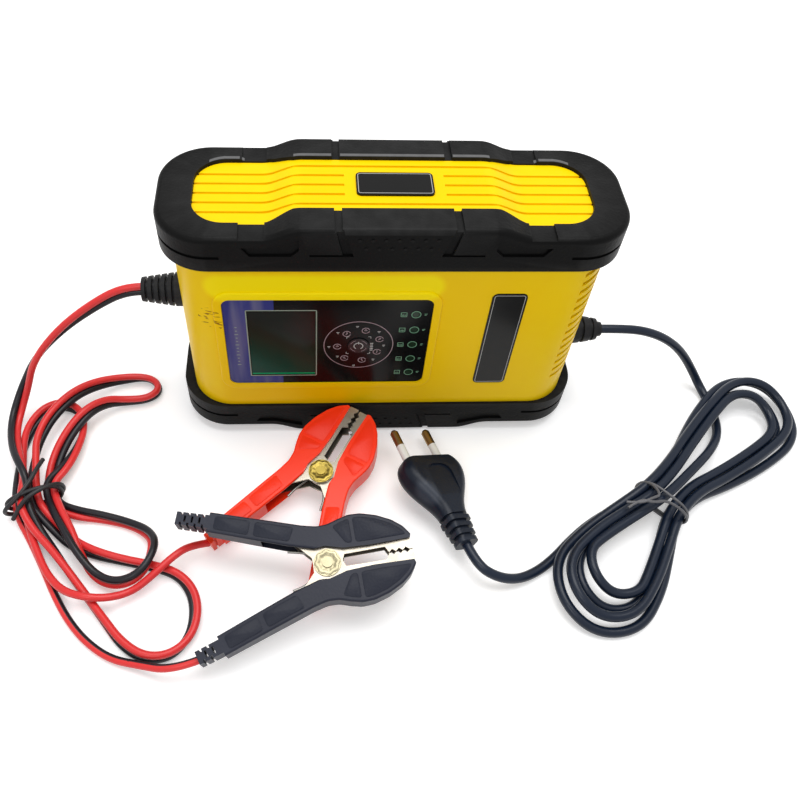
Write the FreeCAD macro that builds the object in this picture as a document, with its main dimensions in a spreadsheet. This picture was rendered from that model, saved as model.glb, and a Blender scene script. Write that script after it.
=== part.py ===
import FreeCAD, Part
import math
import os
import Sketcher

# A car battery charger: a yellow case between two black bumpers, with its
# electronics, its clamp lead on the left and its mains lead on the right.
# Frame: +X to the right along the front, the display faces -Y, +Z is up, and
# the origin is the middle of the case's footprint on the bench. Millimetres.

os.makedirs("parts", exist_ok=True)
doc = FreeCAD.newDocument("battery_charger")
Vector = FreeCAD.Vector
Rotation = FreeCAD.Rotation
Placement = FreeCAD.Placement

# Driving dimensions, kept in a spreadsheet.
DIMENSIONS = {
    "caseLength": 188, "caseDepth": 58, "caseHeight": 128, "bumperCorner": 21,
    "bumperHeight": 20.6, "humpRise": 4.4, "humpTop": 40, "humpFoot": 50,
    "dipStart": 51, "dipFoot": 61, "dipDepth": 0.9, "bumperFloor": 10, "bumperEdge": 2.4,
    "notchInner": 21.5, "notchOuter": 24.5, "notchDepth": 1.3, "rimHeight": 6.2,
    "neckHeight": 1.5, "neckInset": 0.8, "neckReach": 68.5, "bendRound": 16,
    "bodyLength": 178, "bodyDepth": 55, "bodyCorner": 19, "wall": 2.4, "fitGap": 0.1,
    "panelLength": 159, "panelWidth": 38.4, "panelWaist": 31.4, "panelCorner": 13,
    "panelDrop": 1.6, "ribPitch": 5.8, "grooveWidth": 1.3, "grooveDepth": 0.8, "padHalf": 20,
    "gripFoot": 17, "gripDepth": 1.1, "bumpRadius": 0.7, "bumpPitch": 5, "bumpProud": 0.3,
    "displayLeft": -70, "displayRight": 17.2, "displayFoot": 37, "displayHead": 91,
    "displayCorner": 3.5, "borderWidth": 3.8, "borderProud": 1.0, "overlayThick": 1.2,
    "overlayBack": 26.7, "ledgeWidth": 4, "displayPost": 2.2,
    "lcdLeft": -60, "lcdRight": -31.7, "lcdFoot": 42.7, "lcdHead": 84, "lcdSunk": 0.3,
    "panelBoardFace": 20.5, "boardThick": 1.6,
    "buttonX": -13, "buttonZ": 62.5, "buttonRadius": 4.6, "buttonGap": 0.3,
    "buttonTravel": 0.7, "buttonProud": 0.5, "switchFace": 23.4, "switchHalf": 3,
    "lightX": 10.5, "lightFoot": 43.9, "lightPitch": 9.45, "lightRadius": 1.6,
    "nameLeft": 41.2, "nameRight": 55.9, "nameFoot": 35.5, "nameHead": 93.5,
    "nameCorner": 2.4, "plateThick": 0.9, "plateSunk": 0.6,
    "badgeHalf": 15.4, "badgeWidth": 13.6, "badgeCorner": 2,
    "ratingHalf": 35, "ratingFoot": 45, "ratingHead": 85,
    "ventFoot": 36, "ventPitch": 5, "ventHeight": 2.1, "ventRise": 2.6, "ventInner": 77.9,
    "bossX": 74, "bossLow": 28, "bossHigh": 100, "bossRadius": 3.6, "screwRadius": 1.5,
    "screwReach": 12, "screwHead": 3, "screwHeadDepth": 1.3, "screwSink": 1.5,
    "boardFace": 15, "boardLeft": -69, "boardRight": 62, "boardFoot": 22, "boardHead": 106,
    "boardPost": 3, "boardScrewInset": 6,
    "fanHalf": 19, "fanLeft": 73, "fanThick": 8, "fanZ": 74, "fanBore": 17.2, "fanHub": 7.5,
    "leadExitZ": 69, "mainsExitZ": 41.5, "exitCollar": 5.2,
    "reliefLength": 18.5, "reliefBase": 7.6, "reliefTip": 5.4, "ringStep": 2.95,
    "ringWidth": 1.75, "ringDepth": 1.3, "glandLength": 17.4,
    "wireDiameter": 3.1, "mainsDiameter": 4.4, "pairHalf": 1.85,
    "clampScale": 0.92, "sleeveRound": 9, "sleeveRim": 0.9,
    "redBootCut": 9, "blackBootCut": 4,
    "sleeveHalf": 6.1, "sleeveEndHalf": 4.7, "outerJawHalf": 4.7,
    "innerJawHalf": 3.6, "jawSheet": 0.9, "rivetRadius": 1.9, "rivetHead": 2.4,
    "rivetDisc": 6.1, "springWire": 0.65, "springRadius": 3.2,
    "blackX": -27.7, "blackY": -111.6, "blackZ": 20.8,
    "redX": -29.3, "redY": -63.2, "redZ": 13.1,
    "plugX": 19, "plugY": -56, "plugZ": 11.3, "plugHeading": 108.6, "plugRoll": 24,
    "plugHalf": 16, "plugThick": 13.4, "plugLength": 31, "plugReliefLength": 14,
    "pinLength": 19, "pinRadius": 2, "pinCore": 1.6, "pinSleeve": 10, "pinSpacing": 18.6,
    "leadTieX": -159, "leadTieY": -66, "leadTieAngle": 20.5, "mainsTieX": 133,
    "mainsTieY": -72, "mainsTieAngle": 130.8, "tieWidth": 4, "tieThick": 1.1,
}
sizes = doc.addObject("Spreadsheet::Sheet", "sizes")
for row, (alias, value) in enumerate(DIMENSIONS.items(), start=1):
    sizes.set("A%d" % row, alias)
    sizes.set("B%d" % row, str(value))
    sizes.setAlias("B%d" % row, alias)
doc.recompute()


class Size:
    """A length with its formula in terms of the spreadsheet's cells."""

    def __init__(self, value, text):
        self.value = float(value)
        self.text = text

    def __add__(self, other):
        return Size(self.value + number(other), "(%s + %s)" % (self.text, formula(other)))

    def __radd__(self, other):
        return Size(number(other) + self.value, "(%s + %s)" % (formula(other), self.text))

    def __sub__(self, other):
        return Size(self.value - number(other), "(%s - %s)" % (self.text, formula(other)))

    def __rsub__(self, other):
        return Size(number(other) - self.value, "(%s - %s)" % (formula(other), self.text))

    def __mul__(self, other):
        return Size(self.value * number(other), "(%s * %s)" % (self.text, formula(other)))

    def __rmul__(self, other):
        return Size(self.value * number(other), "(%s * %s)" % (formula(other), self.text))

    def __truediv__(self, other):
        return Size(self.value / number(other), "(%s / %s)" % (self.text, formula(other)))

    def __neg__(self):
        return Size(-self.value, "(-1 * %s)" % self.text)


def number(item):
    return item.value if isinstance(item, Size) else float(item)


def formula(item):
    return item.text if isinstance(item, Size) else "(%.6g)" % item


class Cells:
    """Every cell of the spreadsheet as an attribute."""


c = Cells()
for alias in DIMENSIONS:
    setattr(c, alias, Size(sizes.get(alias), "sizes." + alias))


def bind(item, field, size):
    item.setExpression(field, formula(size))


def seat(item, x, y, z, rotation=Rotation()):
    """Places an object by bound coordinates."""
    item.Placement = Placement(Vector(number(x), number(y), number(z)), rotation)
    bind(item, "Placement.Base.x", x)
    bind(item, "Placement.Base.y", y)
    bind(item, "Placement.Base.z", z)
    return item


# Part Design helpers: sketches, pads, pockets and edge treatments.

def newBody(name):
    body = doc.addObject("PartDesign::Body", name)
    body.Label = name
    return body


def newSketch(body, name, plane, height=0):
    """A sketch on an origin plane of its body, moved along the plane's normal."""
    sketch = body.newObject("Sketcher::SketchObject", name)
    origin = [item for item in body.Origin.OriginFeatures if item.Role == plane + "_Plane"][0]
    sketch.AttachmentSupport = (origin, [""])
    sketch.MapMode = "FlatFace"
    sketch.AttachmentOffset = Placement(Vector(0, 0, number(height)), Rotation())
    bind(sketch, "AttachmentOffset.Base.z", height)
    return sketch


def fixPoint(sketch, item, corner, x, y):
    for axis, size in (("DistanceX", x), ("DistanceY", y)):
        rule = sketch.addConstraint(
            Sketcher.Constraint(axis, -1, 1, item, corner, number(size)))
        if isinstance(size, Size):
            bind(sketch, "Constraints[%d]" % rule, size)


def drawLoop(sketch, points):
    """A closed outline of straight sides through bound points."""
    first = sketch.GeometryCount
    count = len(points)
    for i in range(count):
        start = points[i]
        end = points[(i + 1) % count]
        sketch.addGeometry(Part.LineSegment(Vector(number(start[0]), number(start[1]), 0),
                                            Vector(number(end[0]), number(end[1]), 0)), False)
    for i in range(count):
        following = first + (i + 1) % count
        sketch.addConstraint(Sketcher.Constraint("Coincident", first + i, 2, following, 1))
    for i in range(count):
        fixPoint(sketch, first + i, 1, points[i][0], points[i][1])
    return sketch


def drawBox(sketch, left, right, low, high):
    return drawLoop(sketch, [(left, low), (right, low), (right, high), (left, high)])


def drawRoundBox(sketch, left, right, low, high, radius):
    """A box outline whose corners are tangent arcs."""
    first = sketch.GeometryCount
    centres = [(right - radius, low + radius), (right - radius, high - radius),
               (left + radius, high - radius), (left + radius, low + radius)]
    arcs = []
    for i, (x, y) in enumerate(centres):
        circle = Part.Circle(Vector(number(x), number(y), 0), Vector(0, 0, 1), number(radius))
        start = math.radians(90 * i - 90)
        arcs.append(Part.ArcOfCircle(circle, start, start + math.pi / 2))
        sketch.addGeometry(arcs[-1], False)
    for i in range(4):
        sketch.addGeometry(Part.LineSegment(arcs[i].EndPoint, arcs[(i + 1) % 4].StartPoint),
                           False)
    for i in range(4):
        line = first + 4 + i
        sketch.addConstraint(Sketcher.Constraint("Tangent", first + i, 2, line, 1))
        sketch.addConstraint(Sketcher.Constraint("Tangent", line, 2, first + (i + 1) % 4, 1))
        fixPoint(sketch, first + i, 3, *centres[i])
        rule = sketch.addConstraint(Sketcher.Constraint("Radius", first + i, number(radius)))
        bind(sketch, "Constraints[%d]" % rule, radius)
    return sketch


def drawCircle(sketch, x, y, radius):
    item = sketch.addGeometry(
        Part.Circle(Vector(number(x), number(y), 0), Vector(0, 0, 1), number(radius)), False)
    fixPoint(sketch, item, 3, x, y)
    rule = sketch.addConstraint(Sketcher.Constraint("Radius", item, number(radius)))
    if isinstance(radius, Size):
        bind(sketch, "Constraints[%d]" % rule, radius)
    return sketch


def addPad(body, name, sketch, length, both=False, back=False):
    feature = body.newObject("PartDesign::Pad", name)
    feature.Profile = sketch
    feature.Length = number(length)
    bind(feature, "Length", length)
    feature.SideType = "Symmetric" if both else "One side"
    feature.Reversed = back
    doc.recompute()
    return feature


def addPocket(body, name, sketch, length, both=True, back=False):
    """Cuts a pocket and makes sure that it removed material."""
    before = body.Shape.Volume
    feature = body.newObject("PartDesign::Pocket", name)
    feature.Profile = sketch
    feature.Length = number(length)
    bind(feature, "Length", length)
    feature.SideType = "Symmetric" if both else "One side"
    feature.Reversed = back
    doc.recompute()
    if body.Shape.Volume > before - 0.01:
        raise ValueError("pocket %s of %s cuts nothing" % (name, body.Label))
    return feature


def addRound(body, name, pick, radius, kind="PartDesign::Fillet"):
    """Rounds or bevels the edges of the body's last shape that pick chooses."""
    base = body.Tip
    edges = ["Edge%d" % (i + 1) for i, edge in enumerate(base.Shape.Edges) if pick(edge)]
    if not edges:
        raise ValueError("no edge for %s of %s" % (name, body.Label))
    feature = body.newObject(kind, name)
    feature.Base = (base, edges)
    field = "Radius" if kind.endswith("Fillet") else "Size"
    setattr(feature, field, number(radius))
    bind(feature, field, radius)
    doc.recompute()
    if not feature.isValid() or not feature.Shape.isValid():
        raise ValueError("edge treatment %s of %s failed" % (name, body.Label))
    return feature


def addRow(body, name, feature, axis, length, count):
    """Repeats a feature in a straight row along an axis of the body's origin."""
    row = body.newObject("PartDesign::LinearPattern", name)
    row.Originals = [feature]
    line = [item for item in body.Origin.OriginFeatures if item.Role == axis + "_Axis"][0]
    row.Direction = (line, [""])
    row.Length = number(length)
    bind(row, "Length", length)
    row.Occurrences = count
    body.Tip = row
    doc.recompute()
    return row


def middle(edge):
    return edge.valueAt((edge.FirstParameter + edge.LastParameter) / 2)


def isVertical(edge):
    start, end = edge.Vertexes[0].Point, edge.Vertexes[-1].Point
    return abs(start.x - end.x) < 0.01 and abs(start.y - end.y) < 0.01 and \
        abs(start.z - end.z) > 0.5


def isAlongY(edge):
    start, end = edge.Vertexes[0].Point, edge.Vertexes[-1].Point
    return abs(start.x - end.x) < 0.01 and abs(start.z - end.z) < 0.01 and \
        abs(start.y - end.y) > 0.1


# Part workbench helpers.

def addBlock(name, left, right, near, far, low, high):
    block = doc.addObject("Part::Box", name)
    for field, size in (("Length", right - left), ("Width", far - near), ("Height", high - low)):
        setattr(block, field, number(size))
        bind(block, field, size)
    return seat(block, left, near, low)


AXIS_TURN = {
    "+X": Rotation(Vector(0, 1, 0), 90), "-X": Rotation(Vector(0, 1, 0), -90),
    "+Y": Rotation(Vector(1, 0, 0), -90), "-Y": Rotation(Vector(1, 0, 0), 90),
    "+Z": Rotation(),
}


def addRod(name, radius, length, axis, x, y, z):
    rod = doc.addObject("Part::Cylinder", name)
    for field, size in (("Radius", radius), ("Height", length)):
        setattr(rod, field, number(size))
        bind(rod, field, size)
    return seat(rod, x, y, z, AXIS_TURN[axis])


def addTaper(name, radius, tip, length, axis, x, y, z):
    cone = doc.addObject("Part::Cone", name)
    for field, size in (("Radius1", radius), ("Radius2", tip), ("Height", length)):
        setattr(cone, field, number(size))
        bind(cone, field, size)
    return seat(cone, x, y, z, AXIS_TURN[axis])


def joinAll(name, items):
    union = doc.addObject("Part::MultiFuse", name)
    union.Shapes = items
    union.Label = name
    return union


def cutFrom(name, base, tools):
    tool = tools[0] if len(tools) == 1 else joinAll(name + "_tools", tools)
    cut = doc.addObject("Part::Cut", name)
    cut.Base = base
    cut.Tool = tool
    cut.Label = name
    return cut


def group(name, items):
    """Several equal pieces kept as separate solids in one sub-part."""
    compound = doc.addObject("Part::Compound", name)
    compound.Links = items
    compound.Label = name
    return compound


PARTS = []


def keep(item):
    """Marks an object as one of the charger's sub-parts."""
    PARTS.append(item)
    return item


# The case: two yellow half shells that meet in the plane y = 0.

bodyFoot = c.bumperFloor
bodyHead = c.caseHeight - c.bumperFloor
halfLength = c.bodyLength / 2
halfDepth = c.bodyDepth / 2
innerDepth = halfDepth - c.wall


def caseHalf(name, front):
    """One half shell with its cavity, screw posts and half cable holes."""
    side = -1 if front else 1
    body = newBody(name)
    outline = newSketch(body, name + "_outline", "XY", bodyFoot)
    drawBox(outline, -halfLength, halfLength,
            -halfDepth if front else 0, 0 if front else halfDepth)
    addPad(body, name + "_block", outline, bodyHead - bodyFoot)
    addRound(body, name + "_corners",
             lambda edge: isVertical(edge) and middle(edge).y * side > 1, c.bodyCorner)
    cavity = newSketch(body, name + "_cavity_outline", "XY", c.caseHeight / 2)
    drawRoundBox(cavity, c.wall - halfLength, halfLength - c.wall,
                 -innerDepth, innerDepth, c.bodyCorner - c.wall)
    addPocket(body, name + "_cavity", cavity, bodyHead - bodyFoot - c.wall * 2)
    posts = newSketch(body, name + "_post_outline", "XZ", 0)
    holes = newSketch(body, name + "_post_holes", "XZ", 0)
    for x in (-c.bossX, c.bossX):
        for z in (c.bossLow, c.bossHigh):
            drawCircle(posts, x, z, c.bossRadius)
            drawCircle(holes, x, z, c.screwRadius - 0.05 if front else c.screwRadius + 0.15)
    addPad(body, name + "_posts", posts, innerDepth + c.wall * 0.3, back=not front)
    addPocket(body, name + "_pilots", holes, c.screwReach * 2 if front else c.bodyDepth + 4)
    for label, x, z in (("lead", -halfLength, c.leadExitZ), ("mains", halfLength, c.mainsExitZ)):
        exitHole = newSketch(body, name + "_" + label + "_hole_outline", "YZ", x)
        drawCircle(exitHole, 0, z, c.exitCollar)
        addPocket(body, name + "_" + label + "_hole", exitHole, c.wall * 4)
    return body


front = keep(caseHalf("front_shell", True))
back = keep(caseHalf("back_shell", False))

border = newSketch(front, "display_border_outline", "XZ", halfDepth - c.wall / 2)
drawRoundBox(border, c.displayLeft - c.borderWidth, c.displayRight + c.borderWidth,
             c.displayFoot - c.borderWidth, c.displayHead + c.borderWidth,
             c.borderWidth + c.displayCorner)
addPad(front, "display_border", border, c.borderProud + c.wall / 2)
addRound(front, "border_edge",
         lambda edge: abs(middle(edge).y + halfDepth.value + c.borderProud.value) < 0.01,
         c.borderProud * 0.9)
window = newSketch(front, "display_seat_outline", "XZ", c.overlayBack + 5)
drawRoundBox(window, c.displayLeft - c.fitGap, c.displayRight + c.fitGap,
             c.displayFoot - c.fitGap, c.displayHead + c.fitGap, c.displayCorner + c.fitGap)
addPocket(front, "display_seat", window, 10)
opening = newSketch(front, "display_opening_outline", "XZ", halfDepth)
drawRoundBox(opening, c.displayLeft + c.ledgeWidth, c.displayRight - c.ledgeWidth,
             c.displayFoot + c.ledgeWidth, c.displayHead - c.ledgeWidth, c.wall)
addPocket(front, "display_opening", opening, c.wall * 3)
nameSeat = newSketch(front, "name_seat_outline", "XZ", halfDepth)
drawRoundBox(nameSeat, c.nameLeft - c.fitGap, c.nameRight + c.fitGap,
             c.nameFoot - c.fitGap, c.nameHead + c.fitGap, c.nameCorner + c.fitGap)
addPocket(front, "name_seat", nameSeat, c.plateSunk * 2)

# Cooling louvres that wrap the front right corner, each a slanted slot.
louvre = newSketch(front, "louvre_outline", "XZ", halfDepth - 7.5)
drawLoop(louvre, [(c.ventInner, c.ventFoot),
                  (halfLength + 1, c.ventFoot + c.ventRise),
                  (halfLength + 1, c.ventFoot + c.ventRise + c.ventHeight),
                  (c.ventInner, c.ventFoot + c.ventHeight)])
firstLouvre = addPocket(front, "louvre", louvre, 17)
addRow(front, "louvres", firstLouvre, "Z", c.ventPitch * 13, 14)
boardPosts = newSketch(front, "display_post_outline", "XZ", c.panelBoardFace)
for x in (c.displayLeft + 1, c.displayRight - 1):
    for z in (c.displayFoot + 1, c.displayHead - 1):
        drawCircle(boardPosts, x, z, c.displayPost)
addPad(front, "display_posts", boardPosts, c.overlayBack - c.panelBoardFace - 0.5)

# Counterbores for the case screws and a seat for the bare rating plate.
bores = newSketch(back, "screw_bores", "XZ", -halfDepth)
for x in (-c.bossX, c.bossX):
    for z in (c.bossLow, c.bossHigh):
        drawCircle(bores, x, z, c.screwHead + 0.2)
addPocket(back, "screw_counterbores", bores, (c.screwHeadDepth + c.screwSink) * 2)
ratingSeat = newSketch(back, "rating_seat_outline", "XZ", -halfDepth)
drawRoundBox(ratingSeat, -c.ratingHalf - c.fitGap, c.ratingHalf + c.fitGap,
             c.ratingFoot - c.fitGap, c.ratingHead + c.fitGap, c.nameCorner + c.fitGap)
addPocket(back, "rating_seat", ratingSeat, c.plateSunk * 2)
standoffs = newSketch(back, "board_post_outline", "XZ", -(c.boardFace + c.boardThick))
boardScrewHoles = newSketch(back, "board_screw_holes", "XZ", -(c.boardFace + c.boardThick))
BOARD_SCREWS = [(x, z) for x in (c.boardLeft + c.boardScrewInset, c.boardRight - c.boardScrewInset)
                for z in (c.boardFoot + c.boardScrewInset, c.boardHead - c.boardScrewInset)]
for x, z in BOARD_SCREWS:
    drawCircle(standoffs, x, z, c.boardPost)
    drawCircle(boardScrewHoles, x, z, c.screwRadius - 0.05)
addPad(back, "board_posts", standoffs, innerDepth + c.wall / 2 - c.boardFace - c.boardThick,
       back=True)
addPocket(back, "board_post_holes", boardScrewHoles, 14)


# The bumpers: one moulding, used at the top and turned over at the bottom.

capBase = c.caseHeight - c.bumperHeight
shoulder = c.caseHeight - c.humpRise


def crownLoops(sketch, drop):
    """Everything above the profile of the crown: hump, ramps and ends."""
    for side in (-1, 1):
        drawLoop(sketch, [(side * (c.caseLength / 2 + 2), c.caseHeight + 3),
                          (side * (c.caseLength / 2 + 2), shoulder - drop),
                          (side * c.humpFoot, shoulder - drop),
                          (side * c.humpTop, c.caseHeight - drop),
                          (side * c.humpTop, c.caseHeight + 3)])


def bumper(name):
    """A black bumper ring with its hump, grips, pockets and corner grooves."""
    body = newBody(name)
    rimTop = capBase + c.rimHeight
    for label, foot, height, inset in (("rim", capBase, c.rimHeight, 0),
                                       ("neck", rimTop, c.neckHeight, c.neckInset),
                                       ("crown", rimTop + c.neckHeight,
                                        c.bumperHeight - c.rimHeight - c.neckHeight, 0)):
        sketch = newSketch(body, name + "_" + label + "_outline", "XY", foot)
        half = c.caseLength / 2 - inset
        drawRoundBox(sketch, -half, half, inset - c.caseDepth / 2, c.caseDepth / 2 - inset,
                     c.bumperCorner - inset)
        addPad(body, name + "_" + label, sketch, height)
    filler = newSketch(body, name + "_filler_outline", "XZ", 0)
    drawBox(filler, -c.neckReach, c.neckReach, rimTop - 1, rimTop + c.neckHeight + 1)
    addPad(body, name + "_filler", filler, c.caseDepth, both=True)
    crown = newSketch(body, name + "_profile", "XZ", 0)
    crownLoops(crown, 0)
    addPocket(body, name + "_hump", crown, c.caseDepth + 4)
    addRound(body, name + "_bends", isHumpBend, c.bendRound)
    addRound(body, name + "_top_edge", isCrownRim, c.bumperEdge)
    openingOutline = newSketch(body, name + "_opening_outline", "XY", c.caseHeight - 3)
    panelLoop(openingOutline, c.fitGap)
    addPocket(body, name + "_opening", openingOutline, (c.bumperFloor - 3) * 2)
    addRound(body, name + "_opening_corners",
             lambda edge: isVertical(edge)
             and abs(abs(middle(edge).x) - c.panelLength.value / 2) < 0.2, c.panelCorner)
    dips = newSketch(body, name + "_dip_outline", "XZ", 0)
    for side in (-1, 1):
        drawBox(dips, side * c.dipStart, side * c.dipFoot, shoulder - c.dipDepth,
                c.caseHeight + 1)
        drawBox(dips, side * c.notchInner, side * c.notchOuter,
                c.caseHeight - c.notchDepth, c.caseHeight + 1)
    addPocket(body, name + "_dips", dips, c.caseDepth + 4)
    socket = newSketch(body, name + "_socket_outline", "XY", capBase)
    drawRoundBox(socket, -halfLength - c.fitGap, halfLength + c.fitGap,
                 -halfDepth - c.fitGap, halfDepth + c.fitGap, c.bodyCorner + c.fitGap)
    addPocket(body, name + "_socket", socket, (c.bumperHeight - c.bumperFloor) * 2)
    for label, way in (("front", 1), ("rear", -1)):
        low = rimTop + c.neckHeight
        grip = newSketch(body, name + "_" + label + "_pocket_outline", "XZ",
                         way * c.caseDepth / 2)
        for side in (-1, 1):
            drawLoop(grip, [(side * c.gripFoot, low),
                            (side * (c.humpTop - 6), low),
                            (side * (c.humpTop - 6), low + 0.9),
                            (side * (c.gripFoot + 4.4), low + 0.9),
                            (side * c.notchOuter, c.caseHeight + 1),
                            (side * c.notchInner, c.caseHeight + 1)])
            drawLoop(grip, [(side * (c.humpTop + 1), low), (side * (c.dipFoot - 4), low),
                            (side * (c.dipFoot - 1), shoulder - 4.2),
                            (side * c.dipStart, shoulder - 4.2),
                            (side * (c.humpTop - 2), c.caseHeight - 4.6),
                            (side * (c.humpTop - 2), low + 3)])
        addPocket(body, name + "_" + label + "_pockets", grip, c.gripDepth * 2)
        bumps = newSketch(body, name + "_" + label + "_bump_outline", "XZ",
                          way * (c.caseDepth / 2 - 1))
        for rowIndex, count in ((0, 6), (1, 7)):
            for i in range(count):
                drawCircle(bumps, c.bumpPitch * (i - (count - 1) / 2),
                           low + 4 + 4.2 * rowIndex, c.bumpRadius)
        addPad(body, name + "_" + label + "_bumps", bumps, c.bumpProud * 2 + 2, both=True)
    return body


def isHumpBend(edge):
    """The creases across the crown where the hump's ramps begin and end."""
    point = middle(edge)
    return isAlongY(edge) and point.z > (shoulder - c.panelDrop).value - 0.01 and \
        min(abs(abs(point.x) - c.humpTop.value), abs(abs(point.x) - c.humpFoot.value)) < 0.01


def isCrownRim(edge):
    """The outer rim of the crown: the upper edges of its outer wall."""
    point = middle(edge)
    if isVertical(edge) or isAlongY(edge) or point.z < shoulder.value - 0.01:
        return False
    onSide = abs(abs(point.y) - c.caseDepth.value / 2) < 0.01
    onEnd = abs(abs(point.x) - c.caseLength.value / 2) < 0.01
    return onSide or onEnd or edge.Curve.TypeId == "Part::GeomCircle"


def panelLoop(sketch, gap):
    """The ribbed panel's outline: full width at the ends, narrower in the middle."""
    end, full, slim = c.panelLength / 2 + gap, c.panelWidth / 2 + gap, c.panelWaist / 2 + gap
    top, foot = c.humpTop, c.humpFoot
    drawLoop(sketch, [(-end, -full), (-foot, -full), (-top, -slim), (top, -slim),
                      (foot, -full), (end, -full), (end, full), (foot, full),
                      (top, slim), (-top, slim), (-foot, full), (-end, full)])


def ribbedPanel(name):
    """The yellow insert of a bumper, with lengthwise grooves over the hump."""
    body = newBody(name)
    outline = newSketch(body, name + "_outline", "XY", bodyHead)
    drawBox(outline, -c.panelLength / 2, c.panelLength / 2, -c.panelWidth / 2, c.panelWidth / 2)
    addPad(body, name + "_block", outline, c.bumperFloor + 2)
    addRound(body, name + "_corners",
             lambda edge: isVertical(edge)
             and abs(abs(middle(edge).x) - c.panelLength.value / 2) < 0.01, c.panelCorner)
    crown = newSketch(body, name + "_crown_outline", "XZ", 0)
    crownLoops(crown, c.panelDrop)
    addPocket(body, name + "_crown", crown, c.caseDepth)
    top = newSketch(body, name + "_top_outline", "XZ", 0)
    drawBox(top, -c.caseLength / 2, c.caseLength / 2,
            c.caseHeight - c.panelDrop, c.caseHeight + 5)
    addPocket(body, name + "_top", top, c.caseDepth)
    addRound(body, name + "_bends", isHumpBend, c.bendRound)
    waist = newSketch(body, name + "_waist_outline", "XY", c.caseHeight)
    for side in (-1, 1):
        drawLoop(waist, [(-c.humpFoot, side * c.panelWidth / 2),
                         (-c.humpTop, side * c.panelWaist / 2),
                         (c.humpTop, side * c.panelWaist / 2),
                         (c.humpFoot, side * c.panelWidth / 2),
                         (c.humpFoot, side * c.panelWidth), (-c.humpFoot, side * c.panelWidth)])
    addPocket(body, name + "_waist", waist, c.caseDepth)
    for label, inner, offset, count in (("outer", 0, c.ribPitch * 2, 2),
                                        ("inner", c.padHalf, c.ribPitch, 3)):
        band = newSketch(body, name + "_" + label + "_band", "XZ", offset)
        grooveLoops(band, inner)
        groove = addPocket(body, name + "_" + label + "_groove", band, c.grooveWidth)
        addRow(body, name + "_" + label + "_grooves", groove, "Y", offset * 2, count)
    return body


def grooveLoops(sketch, inner):
    """A groove's band along the crown, whole or broken by the flat pad."""
    end, foot, top = c.panelLength / 2 + 1, c.humpFoot, c.humpTop
    high = c.caseHeight - c.panelDrop
    low = high - c.humpRise
    deep = c.grooveDepth
    if number(inner) == 0:
        drawLoop(sketch, [(-end, low + 1), (-end, low - deep), (-foot, low - deep),
                          (-top, high - deep), (top, high - deep), (foot, low - deep),
                          (end, low - deep), (end, low + 1), (foot, low + 1),
                          (top, high + 1), (-top, high + 1), (-foot, low + 1)])
        return
    for side in (-1, 1):
        drawLoop(sketch, [(side * end, low + 1), (side * end, low - deep),
                          (side * foot, low - deep), (side * top, high - deep),
                          (side * inner, high - deep), (side * inner, high + 1),
                          (side * top, high + 1), (side * foot, low + 1)])


def turnOver(body):
    """The same moulding below: turned about X, through the case's mid height."""
    return seat(body, 0, 0, c.caseHeight, Rotation(Vector(1, 0, 0), 180))


keep(bumper("upper_bumper"))
keep(turnOver(bumper("lower_bumper")))
keep(ribbedPanel("top_panel"))
keep(turnOver(ribbedPanel("bottom_panel")))


# Bare plates: the badge on top, the tall plate in front and the rating plate.

def plate(name, plane, height, left, right, low, high, thick, corner):
    body = newBody(name)
    outline = newSketch(body, name + "_outline", plane, height)
    drawRoundBox(outline, left, right, low, high, corner)
    addPad(body, name + "_sheet", outline, thick)
    return body


keep(plate("top_badge", "XY", c.caseHeight - c.panelDrop, -c.badgeHalf, c.badgeHalf,
           -c.badgeWidth / 2, c.badgeWidth / 2, c.plateThick, c.badgeCorner))
keep(plate("name_plate", "XZ", halfDepth - c.plateSunk, c.nameLeft, c.nameRight,
           c.nameFoot, c.nameHead, c.plateThick, c.nameCorner))
keep(plate("rating_plate", "XZ", -halfDepth, -c.ratingHalf, c.ratingHalf,
           c.ratingFoot, c.ratingHead, c.plateSunk, c.nameCorner))


# The control panel: overlay, screen, lamps, button and the board behind them.

overlay = newBody("display_overlay")
sheetOutline = newSketch(overlay, "overlay_outline", "XZ", c.overlayBack)
drawRoundBox(sheetOutline, c.displayLeft, c.displayRight, c.displayFoot, c.displayHead,
             c.displayCorner)
addPad(overlay, "overlay_sheet", sheetOutline, c.overlayThick)
cutOuts = newSketch(overlay, "overlay_cut_outs", "XZ", c.overlayBack + c.overlayThick / 2)
drawBox(cutOuts, c.lcdLeft, c.lcdRight, c.lcdFoot, c.lcdHead)
drawCircle(cutOuts, c.buttonX, c.buttonZ, c.buttonRadius + c.buttonGap)
for i in range(5):
    drawCircle(cutOuts, c.lightX, c.lightFoot + c.lightPitch * i, c.lightRadius)
addPocket(overlay, "overlay_openings", cutOuts, c.overlayThick * 2)
keep(overlay)

keep(addBlock("lcd_screen", c.lcdLeft + c.fitGap, c.lcdRight - c.fitGap,
              c.lcdSunk - c.overlayBack - c.overlayThick, -c.panelBoardFace,
              c.lcdFoot + c.fitGap, c.lcdHead - c.fitGap))
lamps = [addRod("lamp_%d" % (i + 1), c.lightRadius - c.fitGap,
                c.overlayBack + c.overlayThick - c.panelBoardFace, "+Y",
                c.lightX, -c.overlayBack - c.overlayThick, c.lightFoot + c.lightPitch * i)
         for i in range(5)]
keep(group("status_lights", lamps))
buttonFace = c.overlayBack + c.overlayThick + c.buttonProud
keep(joinAll("mode_button", [
    addRod("button_cap", c.buttonRadius, c.overlayThick + c.buttonProud + 0.6, "+Y",
           c.buttonX, -buttonFace, c.buttonZ),
    addRod("button_flange", c.buttonRadius + 1, 0.7, "+Y",
           c.buttonX, c.fitGap - c.overlayBack, c.buttonZ),
    addRod("button_stem", c.buttonRadius / 2, buttonFace - c.switchFace - c.buttonTravel - 0.1,
           "+Y", c.buttonX, -buttonFace, c.buttonZ)]))
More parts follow.
